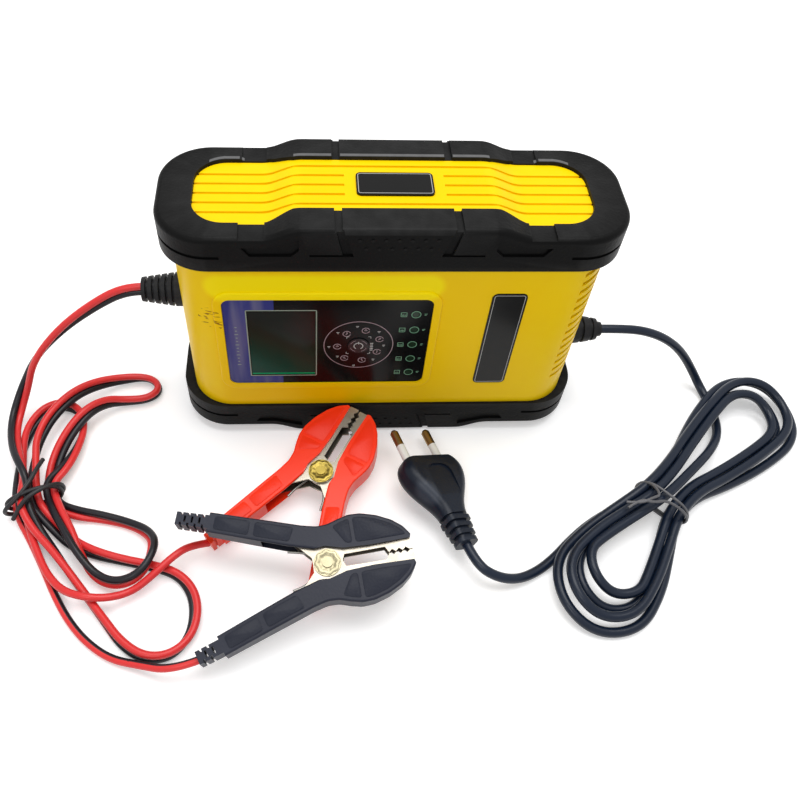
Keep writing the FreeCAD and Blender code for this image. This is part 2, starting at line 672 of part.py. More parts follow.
keep(joinAll("mode_switch", [
    addBlock("switch_base", c.buttonX - c.switchHalf, c.buttonX + c.switchHalf,
             0.6 - c.switchFace, -c.panelBoardFace,
             c.buttonZ - c.switchHalf, c.buttonZ + c.switchHalf),
    addRod("switch_pin", c.switchHalf / 2, 1, "+Y", c.buttonX, -c.switchFace, c.buttonZ)]))
keep(addBlock("display_board", c.displayLeft - 1.5, c.displayRight + 1.5,
              -c.panelBoardFace, c.boardThick - c.panelBoardFace,
              c.displayFoot - 1.5, c.displayHead + 1.5))


# Power electronics on the main board, which stands on posts of the rear shell.

boardBlank = addBlock("board_blank", c.boardLeft, c.boardRight, c.boardFace,
                      c.boardFace + c.boardThick, c.boardFoot, c.boardHead)
boardHoles = [addRod("board_hole_%d" % i, c.screwRadius + 0.1, c.boardThick + 2, "+Y",
                     x, c.boardFace - 1, z) for i, (x, z) in enumerate(BOARD_SCREWS)]
keep(cutFrom("main_board", boardBlank, boardHoles))


def onBoard(name, left, right, low, high, rise):
    """A block that stands on the front of the main board."""
    return addBlock(name, left, right, c.boardFace - rise, c.boardFace, low, high)


def rodOnBoard(name, x, z, radius, rise):
    return addRod(name, radius, rise, "-Y", x, c.boardFace, z)


coreWindow = addBlock("core_window", -14, 8, -15, c.boardFace + 2, 51, 75)
keep(cutFrom("transformer_core", onBoard("core_block", -22, 16, 46, 80, 28), [coreWindow]))
winding = doc.addObject("Part::Fillet", "transformer_winding")
winding.Base = addBlock("winding_block", -13.9, 7.9, -17, 14.2, 51.1, 74.9)
doc.recompute()
winding.Edges = [(i + 1, 3, 3) for i, edge in enumerate(winding.Base.Shape.Edges)
                 if isAlongY(edge)]
keep(winding)

finSlots = [addBlock("fin_slot_%d" % i, -63.5 + 5 * i, -61 + 5 * i, -6, 16, 80, 96)
            for i in range(6)]
keep(cutFrom("heat_sink", onBoard("sink_block", -66, -34, 76, 92, 20), finSlots))
keep(group("power_transistors", [onBoard("transistor_%d" % i, x - 5, x + 5, 71.4, 76, 16)
                                 for i, x in enumerate((-60, -48.5, -37))]))
keep(group("filter_capacitors", [rodOnBoard("large_capacitor_%d" % i, x, 52, 8, 26)
                                 for i, x in enumerate((-58, -38))]))
keep(group("small_capacitors", [rodOnBoard("small_capacitor_%d" % i, x, 62, 4, 13)
                                for i, x in enumerate((26, 36, 46))]))
choke = doc.addObject("Part::Torus", "choke")
choke.Radius1 = 6.5
choke.Radius2 = 3.2
keep(seat(choke, -44, c.boardFace - 3.2, 33, AXIS_TURN["-Y"]))
keep(onBoard("relay", 24, 44, 78, 94, 15))
keep(joinAll("fuse_holder", [onBoard("fuse_clip_%d" % i, x, x + 2, 30, 35, 6)
                             for i, x in enumerate((20, 42))]))
keep(addRod("fuse", 2.5, 20, "+X", 22, c.boardFace - 3.5, 32.5))
keep(group("wire_terminals", [onBoard("lead_terminal", -66, -55, 61, 69, 10),
                              onBoard("mains_terminal", 49, 60, 36, 46, 10)]))

# The fan, fixed to the right end wall by four spacers; its rotor turns on a pin.
fanMiddle = c.fanLeft + c.fanThick / 2
fanBlock = addBlock("fan_block", c.fanLeft, c.fanLeft + c.fanThick, -c.fanHalf, c.fanHalf,
                    c.fanZ - c.fanHalf, c.fanZ + c.fanHalf)
fanHole = addRod("fan_hole", c.fanBore, c.fanThick + 2, "+X", c.fanLeft - 1, 0, c.fanZ)
fanRing = cutFrom("fan_ring", fanBlock, [fanHole])
spacers = [addRod("fan_spacer_%d_%d" % (i, j), 2,
                  halfLength - c.wall - c.fanLeft - c.fanThick, "+X",
                  c.fanLeft + c.fanThick, y, c.fanZ + z)
           for i, y in enumerate((-6.2, 6.2)) for j, z in enumerate((-16.8, 16.8))]
spokes = [addBlock("fan_spoke_across", c.fanLeft, c.fanLeft + 1.2, -c.fanBore - 1,
                   c.fanBore + 1, c.fanZ - 1, c.fanZ + 1),
          addBlock("fan_spoke_upright", c.fanLeft, c.fanLeft + 1.2, -1, 1,
                   c.fanZ - c.fanBore - 1, c.fanZ + c.fanBore + 1)]
fanPin = addRod("fan_pin", 1, c.fanThick - 2, "+X", c.fanLeft, 0, c.fanZ)
fanDisc = addRod("fan_disc", c.fanHub, 1.2, "+X", c.fanLeft, 0, c.fanZ)
keep(joinAll("fan_frame", [fanRing, fanDisc, fanPin] + spokes + spacers))
hub = addRod("fan_hub", c.fanHub, c.fanThick - 2, "+X", c.fanLeft + 1.7, 0, c.fanZ)
bladeLength = c.fanBore - c.fanHub + 0.2
blades = []
for i in range(7):
    blade = addBlock("fan_blade_%d" % (i + 1), 0, bladeLength, 0, c.jawSheet, 0, 6)
    spin = Rotation(Vector(1, 0, 0), 360 * i / 7)
    lean = spin * Rotation(Vector(0, 0, 1), 90) * Rotation(Vector(1, 0, 0), 90 - 38)
    start = spin.multVec(Vector(0, number(c.fanHub) - 1, 0))
    offset = lean.multVec(Vector(0, 0, 3))
    blades.append(seat(blade, fanMiddle + (0.7 + start.x - offset.x), start.y - offset.y,
                       c.fanZ + (start.z - offset.z), lean))
hubBore = addRod("fan_hub_bore", 1.05, c.fanThick, "+X", c.fanLeft + 1, 0, c.fanZ)
keep(cutFrom("fan_rotor", joinAll("fan_wheel", [hub] + blades), [hubBore]))


def screws(name, places, headRadius, headHeight, length, y):
    """Equal screws along Y whose heads start at y and point to +Y when length < 0."""
    items = []
    way = "+Y" if number(length) > 0 else "-Y"
    for i, (x, z) in enumerate(places):
        head = addRod("%s_head_%d" % (name, i), headRadius, headHeight, way, x, y, z)
        shank = addRod("%s_shank_%d" % (name, i), c.screwRadius - 0.1,
                       length if way == "+Y" else -length, way, x, y, z)
        items.append(joinAll("%s_%d" % (name, i), [head, shank]))
    return group(name, items)


keep(screws("case_screws", [(x, z) for x in (-c.bossX, c.bossX)
                            for z in (c.bossLow, c.bossHigh)],
            c.screwHead, c.screwHeadDepth - c.fitGap, -(halfDepth - c.screwSink + 9),
            halfDepth - c.screwSink - 0.05))
keep(screws("board_screws", BOARD_SCREWS, c.screwHead - 0.4, 1.6, 9.6, c.boardFace - 1.6))


# The strain relief of the clamp lead and the gland of the mains lead.

def turnedPart(name, points, rotation, x, z):
    """A body turned about X from a half profile of (distance, radius) points."""
    body = newBody(name)
    sketch = newSketch(body, name + "_profile", "XY", 0)
    drawLoop(sketch, points)
    feature = body.newObject("PartDesign::Revolution", name + "_turning")
    feature.Profile = sketch
    feature.ReferenceAxis = (sketch, ["H_Axis"])
    feature.Angle = 360
    doc.recompute()
    return seat(body, x, 0, z, rotation)


reliefEnd = halfLength + c.reliefLength


def throughWall(length):
    """The end of a relief's profile: neck in the case's hole and flange inside."""
    inside = length + c.wall
    return [(length - c.fitGap, c.exitCollar - c.fitGap),
            (inside + c.fitGap, c.exitCollar - c.fitGap),
            (inside + c.fitGap, c.exitCollar + 1.4), (inside + 1.3, c.exitCollar + 1.4),
            (inside + 1.3, 0)]


ribs = [(0, 0), (0, c.reliefTip)]
for i in range(5):
    radius = c.reliefTip + (c.reliefBase - c.reliefTip) * (i / 5)
    larger = c.reliefTip + (c.reliefBase - c.reliefTip) * ((i + 1) / 5)
    ribs += [(c.ringStep * i + c.ringWidth, radius + 0.3),
             (c.ringStep * i + c.ringWidth, radius - c.ringDepth),
             (c.ringStep * (i + 1), radius - c.ringDepth), (c.ringStep * (i + 1), larger)]
ribs += [(c.reliefLength - c.fitGap, c.reliefBase)] + throughWall(c.reliefLength)
keep(turnedPart("dc_relief", ribs, Rotation(), -reliefEnd, c.leadExitZ))
keep(turnedPart("mains_gland", [
    (0, 0), (0, 3.4), (2.6, 3.9), (2.6, 5.2), (4.6, 5.6), (4.6, 4.8), (6.2, 4.9), (6.2, 5.9),
    (9.4, 6.4), (9.4, 5.4), (11, 5.5), (11, 6.6), (16.2, 7.2), (c.glandLength - c.fitGap, 7.2)]
    + throughWall(c.glandLength),
    Rotation(Vector(0, 0, 1), 180), halfLength + c.glandLength, c.mainsExitZ))


# Cords: straight runs joined by tangent arcs, each swept as one unbroken tube.

def roundedPath(points, share=0.45):
    """The edges of a route whose corners are arcs, and the least arc radius."""
    route = [Vector(*p) for p in points]
    edges = []
    least = 1e9
    last = route[0]
    for before, corner, after in zip(route, route[1:], route[2:]):
        inward = (corner - before).normalize()
        outward = (after - corner).normalize()
        half = inward.getAngle(outward) / 2
        reach = share * min((corner - before).Length, (after - corner).Length)
        radius = reach / math.tan(half)
        least = min(least, radius)
        start = corner - inward * reach
        end = corner + outward * reach
        aim = (outward - inward).normalize()
        centre = corner + aim * (radius / math.cos(half))
        edges.append(Part.LineSegment(last, start).toShape())
        edges.append(Part.Arc(start, centre - aim * radius, end).toShape())
        last = end
    edges.append(Part.LineSegment(last, route[-1]).toShape())
    return edges, least


def sweptTube(points, diameter):
    edges, least = roundedPath(points)
    path = Part.Wire(edges)
    shell = Part.BRepOffsetAPI.MakePipeShell(path)
    start = Vector(*points[0])
    ring = Part.Circle(start, Vector(*points[1]) - start, diameter / 2).toShape()
    shell.add(Part.Wire([ring]))
    shell.build()
    shell.makeSolid()
    return shell.shape(), path, least


def leastGap(path, diameter, skip):
    """The least gap between stretches of one cord that are further apart along it."""
    spots = []
    cells = {}
    travelled = 0
    for edge in path.Edges:
        count = max(2, int(edge.Length))
        for i in range(count):
            run = edge.Length * i / count
            spots.append((travelled + run, edge.valueAt(edge.getParameterByLength(run))))
        travelled += edge.Length
    for index, (length, spot) in enumerate(spots):
        key = (int(spot.x // 8), int(spot.y // 8), int(spot.z // 8))
        cells.setdefault(key, []).append(index)
    least = 99
    for index, (length, spot) in enumerate(spots):
        key = (int(spot.x // 8), int(spot.y // 8), int(spot.z // 8))
        for dx in (-1, 0, 1):
            for dy in (-1, 0, 1):
                for dz in (-1, 0, 1):
                    for other in cells.get((key[0] + dx, key[1] + dy, key[2] + dz), []):
                        if spots[other][0] > length + skip:
                            least = min(least, spot.distanceToPoint(spots[other][1]))
    return least - diameter


def addCord(name, points, size):
    diameter = number(size)
    shape, path, least = sweptTube(points, diameter)
    cord = doc.addObject("Part::Feature", name)
    cord.Shape = shape
    cord.Placement = Placement()
    expected = math.pi * diameter * diameter / 4 * path.Length
    print(name, "length", round(path.Length, 1), "least radius", round(least, 1),
          "volume ratio", round(shape.Volume / expected, 4))
    if path.Length > 500:
        print(name, "least gap between turns", round(leastGap(path, diameter, 12), 2))
    return cord


def pairPoint(column, along, height, turn=180):
    """A crossing of the coil's tie: lanes 7.2 apart that run at right angles to it."""
    return (number(c.leadTieX) + 6.75 * column + 0.35 * along,
            number(c.leadTieY) + 2.52 * column - 0.937 * along, height, turn)


def flatRun(points):
    """A stretch where the pair lies flat, one wire beside the other."""
    return [(x, y, z, 180) for x, y, z in points]


LOW, MID, HIGH = 3.2, 6.9, 10.6
ARRIVAL = [
    (-107.5, 0, 69, 90), (-115.5, 0, 69, 90), (-130, -1.5, 57.8, 75), (-147, -5, 42.5, 55),
    (-163, -9.5, 26.5, 30), (-173.5, -14, 12, 10), (-178, -21.5, 4.6, 0),
    (-179, -30.5, 3.2, -10), (-178.6, -37, 4.4, -35), (-177, -43.5, 6, -70),
    (-174.5, -49.5, 7.6, -105), (-171.3, -55.5, 8, -145)]
BIG_LOOP = [
    (-157.5, -81.5, 5.4), (-148.5, -91, 5.6), (-140, -101.5, 5.2), (-131, -112, 1.9),
    (-121, -123, 1.7), (-112, -133, 1.7), (-102, -140, 1.7), (-91, -140.5, 1.7),
    (-83.5, -134, 1.7), (-81.5, -124, 1.7), (-84, -113.5, 1.7), (-91, -105.5, 1.7),
    (-103, -101, 1.7), (-116, -98, 2.2), (-128, -94, 5.8), (-139, -87, 8),
    (-147.5, -77.5, 10)]
LONG_LOOP = [
    (-164, -47, 9.1, 180), (-162.5, -35, 9.1, 180), (-158, -22, 9.6, 180),
    (-150, -11, 9.6, 180), (-140, -3, 5.5, 170), (-128, 2.5, 3.3, 140),
    (-113, 3.7, 3.7, 100), (-106.5, -2.4, 3.8, 90), (-106.5, -10.6, 3.8, 90),
    (-112.5, -16.3, 3.7, 100), (-123, -16.3, 3.2, 140), (-133, -17, 1.7, 180),
    (-141, -22.5, 1.7, 180), (-147, -32, 1.7, 180), (-151.5, -44, 1.8, 180)]
DROP_LOOP = [
    (-141.5, -72.5, 1.7), (-128, -75.5, 1.7), (-115, -79.5, 1.7), (-105.5, -86, 1.7),
    (-101.5, -96, 5.7), (-106.5, -105, 5.7), (-116.5, -107, 2), (-126, -102, 1.7),
    (-134, -92.5, 1.7), (-141, -81.5, 5)]
SMALL_LOOP = [
    (-150.5, -48, 5.8, 180), (-146.5, -38, 5.4, 180), (-143, -27, 5.4, 180),
    (-146, -15.5, 5.4, 180), (-156, -10.5, 5.3, 175), (-165, -14, 4, 140),
    (-170, -22, 3.8, 100), (-171.5, -32, 3.6, 60), (-170.5, -43, 3, 20)]
PAIR = (ARRIVAL + [pairPoint(-1, -5, MID), pairPoint(-1, 5, MID)] + flatRun(BIG_LOOP)
        + [pairPoint(0, 5, HIGH), pairPoint(0, -5, HIGH)] + LONG_LOOP
        + [pairPoint(1, -5, LOW), pairPoint(1, 5, LOW)] + flatRun(DROP_LOOP)
        + [pairPoint(1, 6, MID), pairPoint(1, -5, MID)] + SMALL_LOOP
        + [pairPoint(-1, -5, LOW, 0), pairPoint(-1, 5, LOW, 0)])
BLACK_END = [
    (-160.5, -86, 1.7), (-153.2, -98.8, 1.7), (-146.2, -111.2, 1.7), (-137.6, -123, 1.7),
    (-127.8, -133.5, 1.7), (-116.3, -142, 1.8), (-104.2, -147.6, 4.4)]
RED_END = [
    (-156, -84, 2), (-151, -95, 1.7), (-145.5, -105, 1.7), (-138, -113, 4.8),
    (-129, -118, 6.4), (-119.5, -117.5, 5.2), (-110, -113.8, 4), (-102, -111.3, 5.8),
    (-93.4, -104.9, 6.3)]


def beside(points, offset):
    """The route of one wire of the pair, at an offset that turns with the pair."""
    spots = [Vector(*p[:3]) for p in points]
    out = []
    for i, spot in enumerate(spots):
        before = spot - spots[i - 1] if i else spots[1] - spot
        after = spots[i + 1] - spot if i + 1 < len(spots) else spot - spots[i - 1]
        before.normalize()
        after.normalize()
        along = (before + after).normalize()
        left = Vector(-along.y, along.x, 0).normalize()
        above = along.cross(left)
        turn = math.radians(points[i][3])
        half = before.getAngle(after) / 2
        place = (spot + left * (offset * math.cos(turn) / math.cos(half))
                 + above * (offset * math.sin(turn)))
        out.append(tuple(place))
    return out


# The clamps: insulated sleeves over two folded jaws on a rivet, with a spring.
# Each is drawn with the pivot at the origin and the jaws towards +X, then laid down.

SLEEVE = [(38.3, 5), (38.9, 6.8), (36.2, 10.8), (31.5, 14.6), (25, 17.8), (18, 19.8),
          (12.5, 20), (7.5, 18.8), (2.5, 17.2), (-2.5, 17), (-9, 18.6), (-30, 25.6),
          (-48.7, 31.95), (-49.2, 30.45), (-63.5, 34.9), (-65.3, 29.3), (-51, 24.7),
          (-51.5, 23.2), (-31, 15.6), (-16.6, 10.4), (-5, 7), (0, 7.4), (8, 5.2), (20, 4.6)]
CAVITY = [(40, 4.8), (37.4, 6.7), (35.1, 10.1), (30.8, 13.5), (24.6, 16.6), (17.8, 18.5),
          (12.6, 18.7), (7.8, 17.5), (2.7, 15.8), (-2.6, 15.6), (-9.4, 17.2), (-28, 23.4),
          (-28, 9), (-10, -2), (40, -2)]
JAW_TOP = [(38.9, 4.6), (37.2, 6.5), (34.9, 9.9), (30.6, 13.3), (24.5, 16.4), (17.7, 18.3),
           (12.6, 18.5), (7.9, 17.3), (2.8, 15.6), (-2.6, 15.4), (-9.5, 17), (-16, 19.2),
           (-16.5, 14.6), (-12, 9.5), (-6.5, 3.5), (-6.4, -1), (-3.5, -5.4), (0, -6.6),
           (3.5, -5.4), (6.4, -1), (8, 2.9), (26.5, 3.1)]
FOLD = [(37.9, -9), (37.9, 4.2), (36.4, 5.9), (34.1, 9.2), (30.1, 12.4), (24.1, 15.4),
        (17.5, 17.3), (12.7, 17.5), (8.1, 16.3), (2.9, 14.6), (-2.8, 14.4), (-20, 19.4),
        (-20, -9)]
BOOT_END = (-64.4, 32.1)
BOOT_WAY = (-0.953, 0.302)
BOOT_ROOT = -60
LAST_SLOT = 13
BOOT_SLOTS = [(away, low, high) for away in (2.4, 5.8, 9.2, 12.6)
              for low, high in ((-5, -1.7), (1.7, 5))]
BOOT_SLOTS += [(away, -1.5, 1.5) for away in (4.1, 7.5, 10.9)]
clampSize = c.clampScale


def scaled(points, side):
    return [(clampSize * x, clampSize * (side * y)) for x, y in points]


def isHumpCorner(edge):
    """The blunt corners of a sleeve's outline on the outer side of its jaw."""
    point = middle(edge)
    scale = number(clampSize)
    return isVertical(edge) and abs(point.y) > 9 * scale and -12 < point.x / scale < 37


def isSleeveRim(edge):
    """The rims of a sleeve's two faces, apart from its boot and its inner jaw side."""
    point = middle(edge)
    scale = number(clampSize)
    return abs(point.z) > 4.9 * scale and not isVertical(edge) and point.x > -47 * scale \
        and abs(point.y) > 9 * scale


def sleeve(name, side, cavityHalf, bootCut):
    """A plastic sleeve: thinner to its boot, hollow over the jaw, with boot slots.

    The boot is shorter than the longest one by bootCut."""
    body = newBody(name)
    outline = newSketch(body, name + "_outline", "XY", 0)
    drawLoop(outline, scaled([(x - bootCut * BOOT_WAY[0], y - bootCut * BOOT_WAY[1])
                              if x < BOOT_ROOT else (x, y) for x, y in SLEEVE], side))
    addPad(body, name + "_block", outline, clampSize * c.sleeveHalf * 2, both=True)
    addRound(body, name + "_hump", isHumpCorner, clampSize * c.sleeveRound)
    taper = newSketch(body, name + "_taper_outline", "XZ", 0)
    for way in (-1, 1):
        drawLoop(taper, [(clampSize * -20, clampSize * c.sleeveHalf * way),
                         (clampSize * -67, clampSize * c.sleeveEndHalf * way),
                         (clampSize * -67, way * 9), (clampSize * -20, way * 9)])
        drawLoop(taper, [(clampSize * 12, clampSize * c.sleeveHalf * way),
                         (clampSize * 39, clampSize * (c.sleeveHalf - 0.7) * way),
                         (clampSize * 39, way * 9), (clampSize * 12, way * 9)])
    addPocket(body, name + "_taper", taper, 100)
    cavity = newSketch(body, name + "_cavity_outline", "XY", 0)
    drawLoop(cavity, scaled(CAVITY, side))
    addPocket(body, name + "_cavity", cavity, clampSize * (cavityHalf + 0.1) * 2)
    slots = newSketch(body, name + "_slot_outline", "XY", 0)
    for away, low, high in BOOT_SLOTS:
        inward = away + number(bootCut)
        if inward > LAST_SLOT:
            continue
        corners = [(0.5, low), (0.5, high), (-0.5, high), (-0.5, low)]
        drawLoop(slots, scaled([(BOOT_END[0] - BOOT_WAY[0] * (inward + a) - b * BOOT_WAY[1],
                                 BOOT_END[1] - BOOT_WAY[1] * (inward + a) + b * BOOT_WAY[0])
                                for a, b in corners], side))
    addPocket(body, name + "_slots", slots, 20)
    addRound(body, name + "_rims", isSleeveRim, c.sleeveRim)
    return body


def jaw(name, side, half, hole):
    """A folded metal jaw: two toothed cheeks joined by the fold along its back."""
    body = newBody(name)
    outline = newSketch(body, name + "_outline", "XY", 0)
    teeth = [(28 + 1.55 * i, 1.6 if i % 2 else 0.3) for i in range(7)]
    drawLoop(outline, scaled(JAW_TOP + teeth + [(38.9, 0.3)], side))
    addPad(body, name + "_block", outline, clampSize * half * 2, both=True)
    fold = newSketch(body, name + "_fold_outline", "XY", 0)
    drawLoop(fold, scaled(FOLD, side))
    addPocket(body, name + "_fold", fold, clampSize * (half - c.jawSheet) * 2)
    pivotHole = newSketch(body, name + "_hole_outline", "XY", 0)
    drawCircle(pivotHole, 0, 0, clampSize * c.rivetRadius + hole)
    addPocket(body, name + "_hole", pivotHole, 20)
    return body


def torsionSpring(name):
    """Three turns round the rivet with a leg to each handle, as one tube."""
    wire = number(clampSize * c.springWire)
    radius = number(clampSize * c.springRadius)
    rise = 1.3
    points = [(-15.6, 8.6, -rise), (-9.8, 7.3, -rise)]
    steps = 10
    for i in range(3 * steps - 3):
        angle = math.radians(62 - 360 * i / steps)
        height = -rise + 2 * rise * i / (3 * steps - 4)
        points.append((radius * math.cos(angle), radius * math.sin(angle), height))
    points += [(-9.8, -7.3, rise), (-15.6, -8.6, rise)]
    shape, path, least = sweptTube(points, wire * 2)
    spring = doc.addObject("Part::Feature", name)
    spring.Shape = shape
    return spring


def clamp(prefix, x, y, z, rotation, fixedSide, fixedCut, movingCut):
    """The six pieces of one clamp; the half on fixedSide holds the wire."""
    half = c.outerJawHalf
    rods = [addRod(prefix + "_rivet_shank", clampSize * c.rivetRadius,
                   clampSize * (half + 1.2) * 2, "+Z", 0, 0, clampSize * -(half + 1.2))]
    for label, radius, low, high in (("disc", c.rivetDisc, half + 0.1, half + 0.8),
                                     ("head", c.rivetHead, half + 0.7, half + 1.8)):
        rods.append(addRod("%s_rivet_%s_upper" % (prefix, label), clampSize * radius,
                           clampSize * (high - low), "+Z", 0, 0, clampSize * low))
        rods.append(addRod("%s_rivet_%s_lower" % (prefix, label), clampSize * radius,
                           clampSize * (high - low), "+Z", 0, 0, clampSize * -high))
    pieces = [sleeve(prefix + "_sleeve_fixed", fixedSide, half, fixedCut),
              sleeve(prefix + "_sleeve_moving", -fixedSide, half, movingCut),
              jaw(prefix + "_jaw_fixed", fixedSide, half, 0.02),
              jaw(prefix + "_jaw_moving", -fixedSide, c.innerJawHalf, 0.06),
              joinAll(prefix + "_rivet", rods), torsionSpring(prefix + "_spring")]
    for piece in pieces:
        keep(seat(piece, x, y, z, rotation))


def laidDown(heading, tiltAxis, tilt):
    return Rotation(tiltAxis, tilt) * Rotation(Vector(0, 0, 1), heading)


def bootSpot(x, y, z, rotation, side, away=0):
    """The middle of a boot's end, or a point beyond it in the boot's direction."""
    scale = number(clampSize)
    local = Vector(scale * BOOT_END[0] + away * BOOT_WAY[0],
                   side * (scale * BOOT_END[1] + away * BOOT_WAY[1]), 0)
    return tuple(rotation.multVec(local) + Vector(number(x), number(y), number(z)))


redHeading = 58.5
blackTurn = laidDown(7.67, Vector(0.982, -0.187, 0), 12.9)
redTurn = laidDown(redHeading, Vector(math.sin(math.radians(redHeading)),
                                      -math.cos(math.radians(redHeading)), 0), 8)
clamp("black", c.blackX, c.blackY, c.blackZ, blackTurn, -1, c.blackBootCut, 0)
clamp("red", c.redX, c.redY, c.redZ, redTurn, 1, c.redBootCut, c.redBootCut)
redInset = number(clampSize * c.redBootCut)
blackInset = number(clampSize * c.blackBootCut)

redRoute = beside(PAIR, 1.85) + RED_END + [
    bootSpot(c.redX, c.redY, c.redZ, redTurn, 1, away) for away in (-0.5, -redInset)]
blackRoute = beside(PAIR, -1.85) + BLACK_END + [
    bootSpot(c.blackX, c.blackY, c.blackZ, blackTurn, -1, away) for away in (8, -blackInset)]
keep(addCord("red_wire", redRoute, c.wireDiameter))
keep(addCord("black_wire", blackRoute, c.wireDiameter))


# The plug of the mains lead, drawn with its pins towards +X and then laid down.

plugTurn = (Rotation(Vector(0, 0, 1), number(c.plugHeading))
            * Rotation(Vector(1, 0, 0), number(c.plugRoll)))


def crossSection(body, name, x, half, thick, corner):
    sketch = newSketch(body, name, "YZ", x)
    return drawRoundBox(sketch, -half, half, -thick / 2, thick / 2, corner)


plug = newBody("plug_body")
sections = [crossSection(plug, "plug_section_%d" % i, x, half, thick, corner)
            for i, (x, half, thick, corner) in enumerate((
                (0, c.plugHalf - 2.4, c.plugThick - 1.6, 4), (-4, c.plugHalf, c.plugThick, 5),
                (-13, c.plugHalf - 1, c.plugThick, 5), (-22, c.plugHalf - 6, c.plugThick - 1.6, 4.6),
                (-c.plugLength, c.plugHalf - 9.4, c.plugThick - 3.6, 4.2)))]
loft = plug.newObject("PartDesign::AdditiveLoft", "plug_loft")
loft.Profile = sections[0]
loft.Sections = sections[1:]
doc.recompute()
thumbRecess = newSketch(plug, "plug_recess_outline", "XY", c.plugThick / 2)
drawRoundBox(thumbRecess, -24, -5.5, -6.5, 6.5, 5)
addPocket(plug, "plug_recess", thumbRecess, 1.6)
tail = -(c.plugLength + c.plugReliefLength)
coreSections = [crossSection(plug, "plug_core_%d" % i, x, half, thick, corner)
                for i, (x, half, thick, corner) in enumerate((
                    (1 - c.plugLength, 5.2, 8.2, 3), (tail, 3.8, 6.6, 2.6)))]
core = plug.newObject("PartDesign::AdditiveLoft", "plug_core_loft")
core.Profile = coreSections[0]
core.Sections = coreSections[1:]
doc.recompute()
for i in range(4):
    size = 0.35 * i
    ring = crossSection(plug, "plug_rib_%d_outline" % i, tail + 3.5 * i, 5.2 + size,
                        8.4 + size * 2, 3)
    addPad(plug, "plug_rib_%d" % i, ring, 1.9)
keep(seat(plug, c.plugX, c.plugY, c.plugZ, plugTurn))

pins = []
sleeves = []
for i, y in enumerate((-c.pinSpacing / 2, c.pinSpacing / 2)):
    root = addRod("pin_root_%d" % i, c.pinCore, c.pinSleeve + 1, "+X", 0, y, 0)
    tip = addRod("pin_tip_%d" % i, c.pinRadius, c.pinLength - c.pinSleeve - 1.2, "+X",
                 c.pinSleeve, y, 0)
    nose = addTaper("pin_nose_%d" % i, c.pinRadius, c.pinRadius - 0.9, 1.2, "+X",
                    c.pinLength - 1.2, y, 0)
    pins.append(joinAll("pin_%d" % i, [root, tip, nose]))
    sleeves.append(cutFrom("pin_sleeve_%d" % i,
                           addRod("pin_cover_%d" % i, c.pinRadius, c.pinSleeve, "+X", 0, y, 0),
                           [addRod("pin_cover_hole_%d" % i, c.pinCore, c.pinSleeve + 2, "+X",
                                   -1, y, 0)]))
keep(seat(group("plug_pins", pins), c.plugX, c.plugY, c.plugZ, plugTurn))
keep(seat(group("pin_sleeves", sleeves), c.plugX, c.plugY, c.plugZ, plugTurn))


# The hank of the mains lead: a flat figure of lobes, each a turn further out.

HANK_TIE = Vector(number(c.mainsTieX), number(c.mainsTieY), 0)
LAYERS = (2.3, 7.3, 12.3)


def hankLobe(angle, reach, half, start, end, heights, raisedSide, runs):
    """One lobe of the hank: out from the tie, round the fold and back to the tie."""
    along = Vector(math.cos(math.radians(angle)), math.sin(math.radians(angle)), 0)
    across = Vector(-along.y, along.x, 0)
    inset = 3
    outHalf = half - (inset if raisedSide == "out" else 0)
    backHalf = half - (inset if raisedSide == "back" else 0)
    mean = (outHalf + backHalf) / 2
    shift = (backHalf - outHalf) / 2
    bend = mean * math.tan(math.pi / 8)
    fold = reach - mean + bend * 0.8
    near, far = runs
    levels = [LAYERS[i] for i in heights]
    flat = [(9, -start, levels[0] + 1.5),
            (near, -start - (outHalf - start) * 0.45, levels[0] * 0.4 + levels[1] * 0.6),
            (far, -start - (outHalf - start) * 0.86, levels[1]),
            (fold, -outHalf, levels[1]),
            (reach, shift - bend, levels[2]), (reach, shift + bend, levels[3]),
            (fold, backHalf, levels[4]),
            (far, end + (backHalf - end) * 0.86, levels[4]),
            (near, end + (backHalf - end) * 0.45, levels[5]),
            (9, end, levels[5] + 1.5)]
    return [tuple(HANK_TIE + along * a + across * b + Vector(0, 0, z)) for a, b, z in flat]


HANK_IN = [
    (106.4, 0, 41.5), (114, 0, 41.5), (126, 0.2, 40.5), (137, 0.5, 36.5),
    (147.5, 0.8, 29.5), (156, 0.3, 21), (163.5, -1.5, 11), (168.5, -6, 4),
    (171, -15, 2.3), (171.5, -27, 2.3), (168, -38.5, 4.5), (159, -50, 9), (148.5, -60, 13)]
HANK_LOBES = [
    (223.6, 65, 14.8, 0, 5.3, (2, 2, 2, 1, 1, 1), "out", (26, 44)),
    (38, 81, 14.8, 5.3, 5.3, (1, 1, 1, 2, 2, 2), "back", (28, 52)),
    (223.6, 79, 20.1, 5.3, 10.6, (2, 2, 2, 1, 1, 1), "out", (26, 44)),
    (38, 93, 20.1, 10.6, 10.6, (1, 1, 1, 2, 2, 2), "back", (28, 52)),
    (223.6, 85, 25.4, 10.6, 10.6, (2, 1, 1, 0, 0, 0), "out", (26, 44)),
    (38, 98, 25.4, 10.6, 8, (0, 0, 0, 1, 1, 1), "back", (28, 52)),
    (223.6, 72, 17.5, 8, 5.3, (1, 1, 1, 0, 0, 0), "out", (26, 44)),
    (38, 87, 17.5, 5.3, 8, (0, 0, 0, 1, 1, 0), "back", (28, 52))]
HANK_OUT = [
    (118, -73, 4), (107, -77.5, 2.4), (94, -84.5, 2.3), (83, -93, 2.3),
    (74, -101.5, 2.3), (65, -108, 2.3), (55, -112.5, 4.2), (45, -112.8, 8)]
mainsRoute = list(HANK_IN)
for item in HANK_LOBES:
    mainsRoute += hankLobe(*item)
plugAxis = plugTurn.multVec(Vector(1, 0, 0))
plugEnd = (Vector(number(c.plugX), number(c.plugY), number(c.plugZ))
           + plugAxis * number(tail))
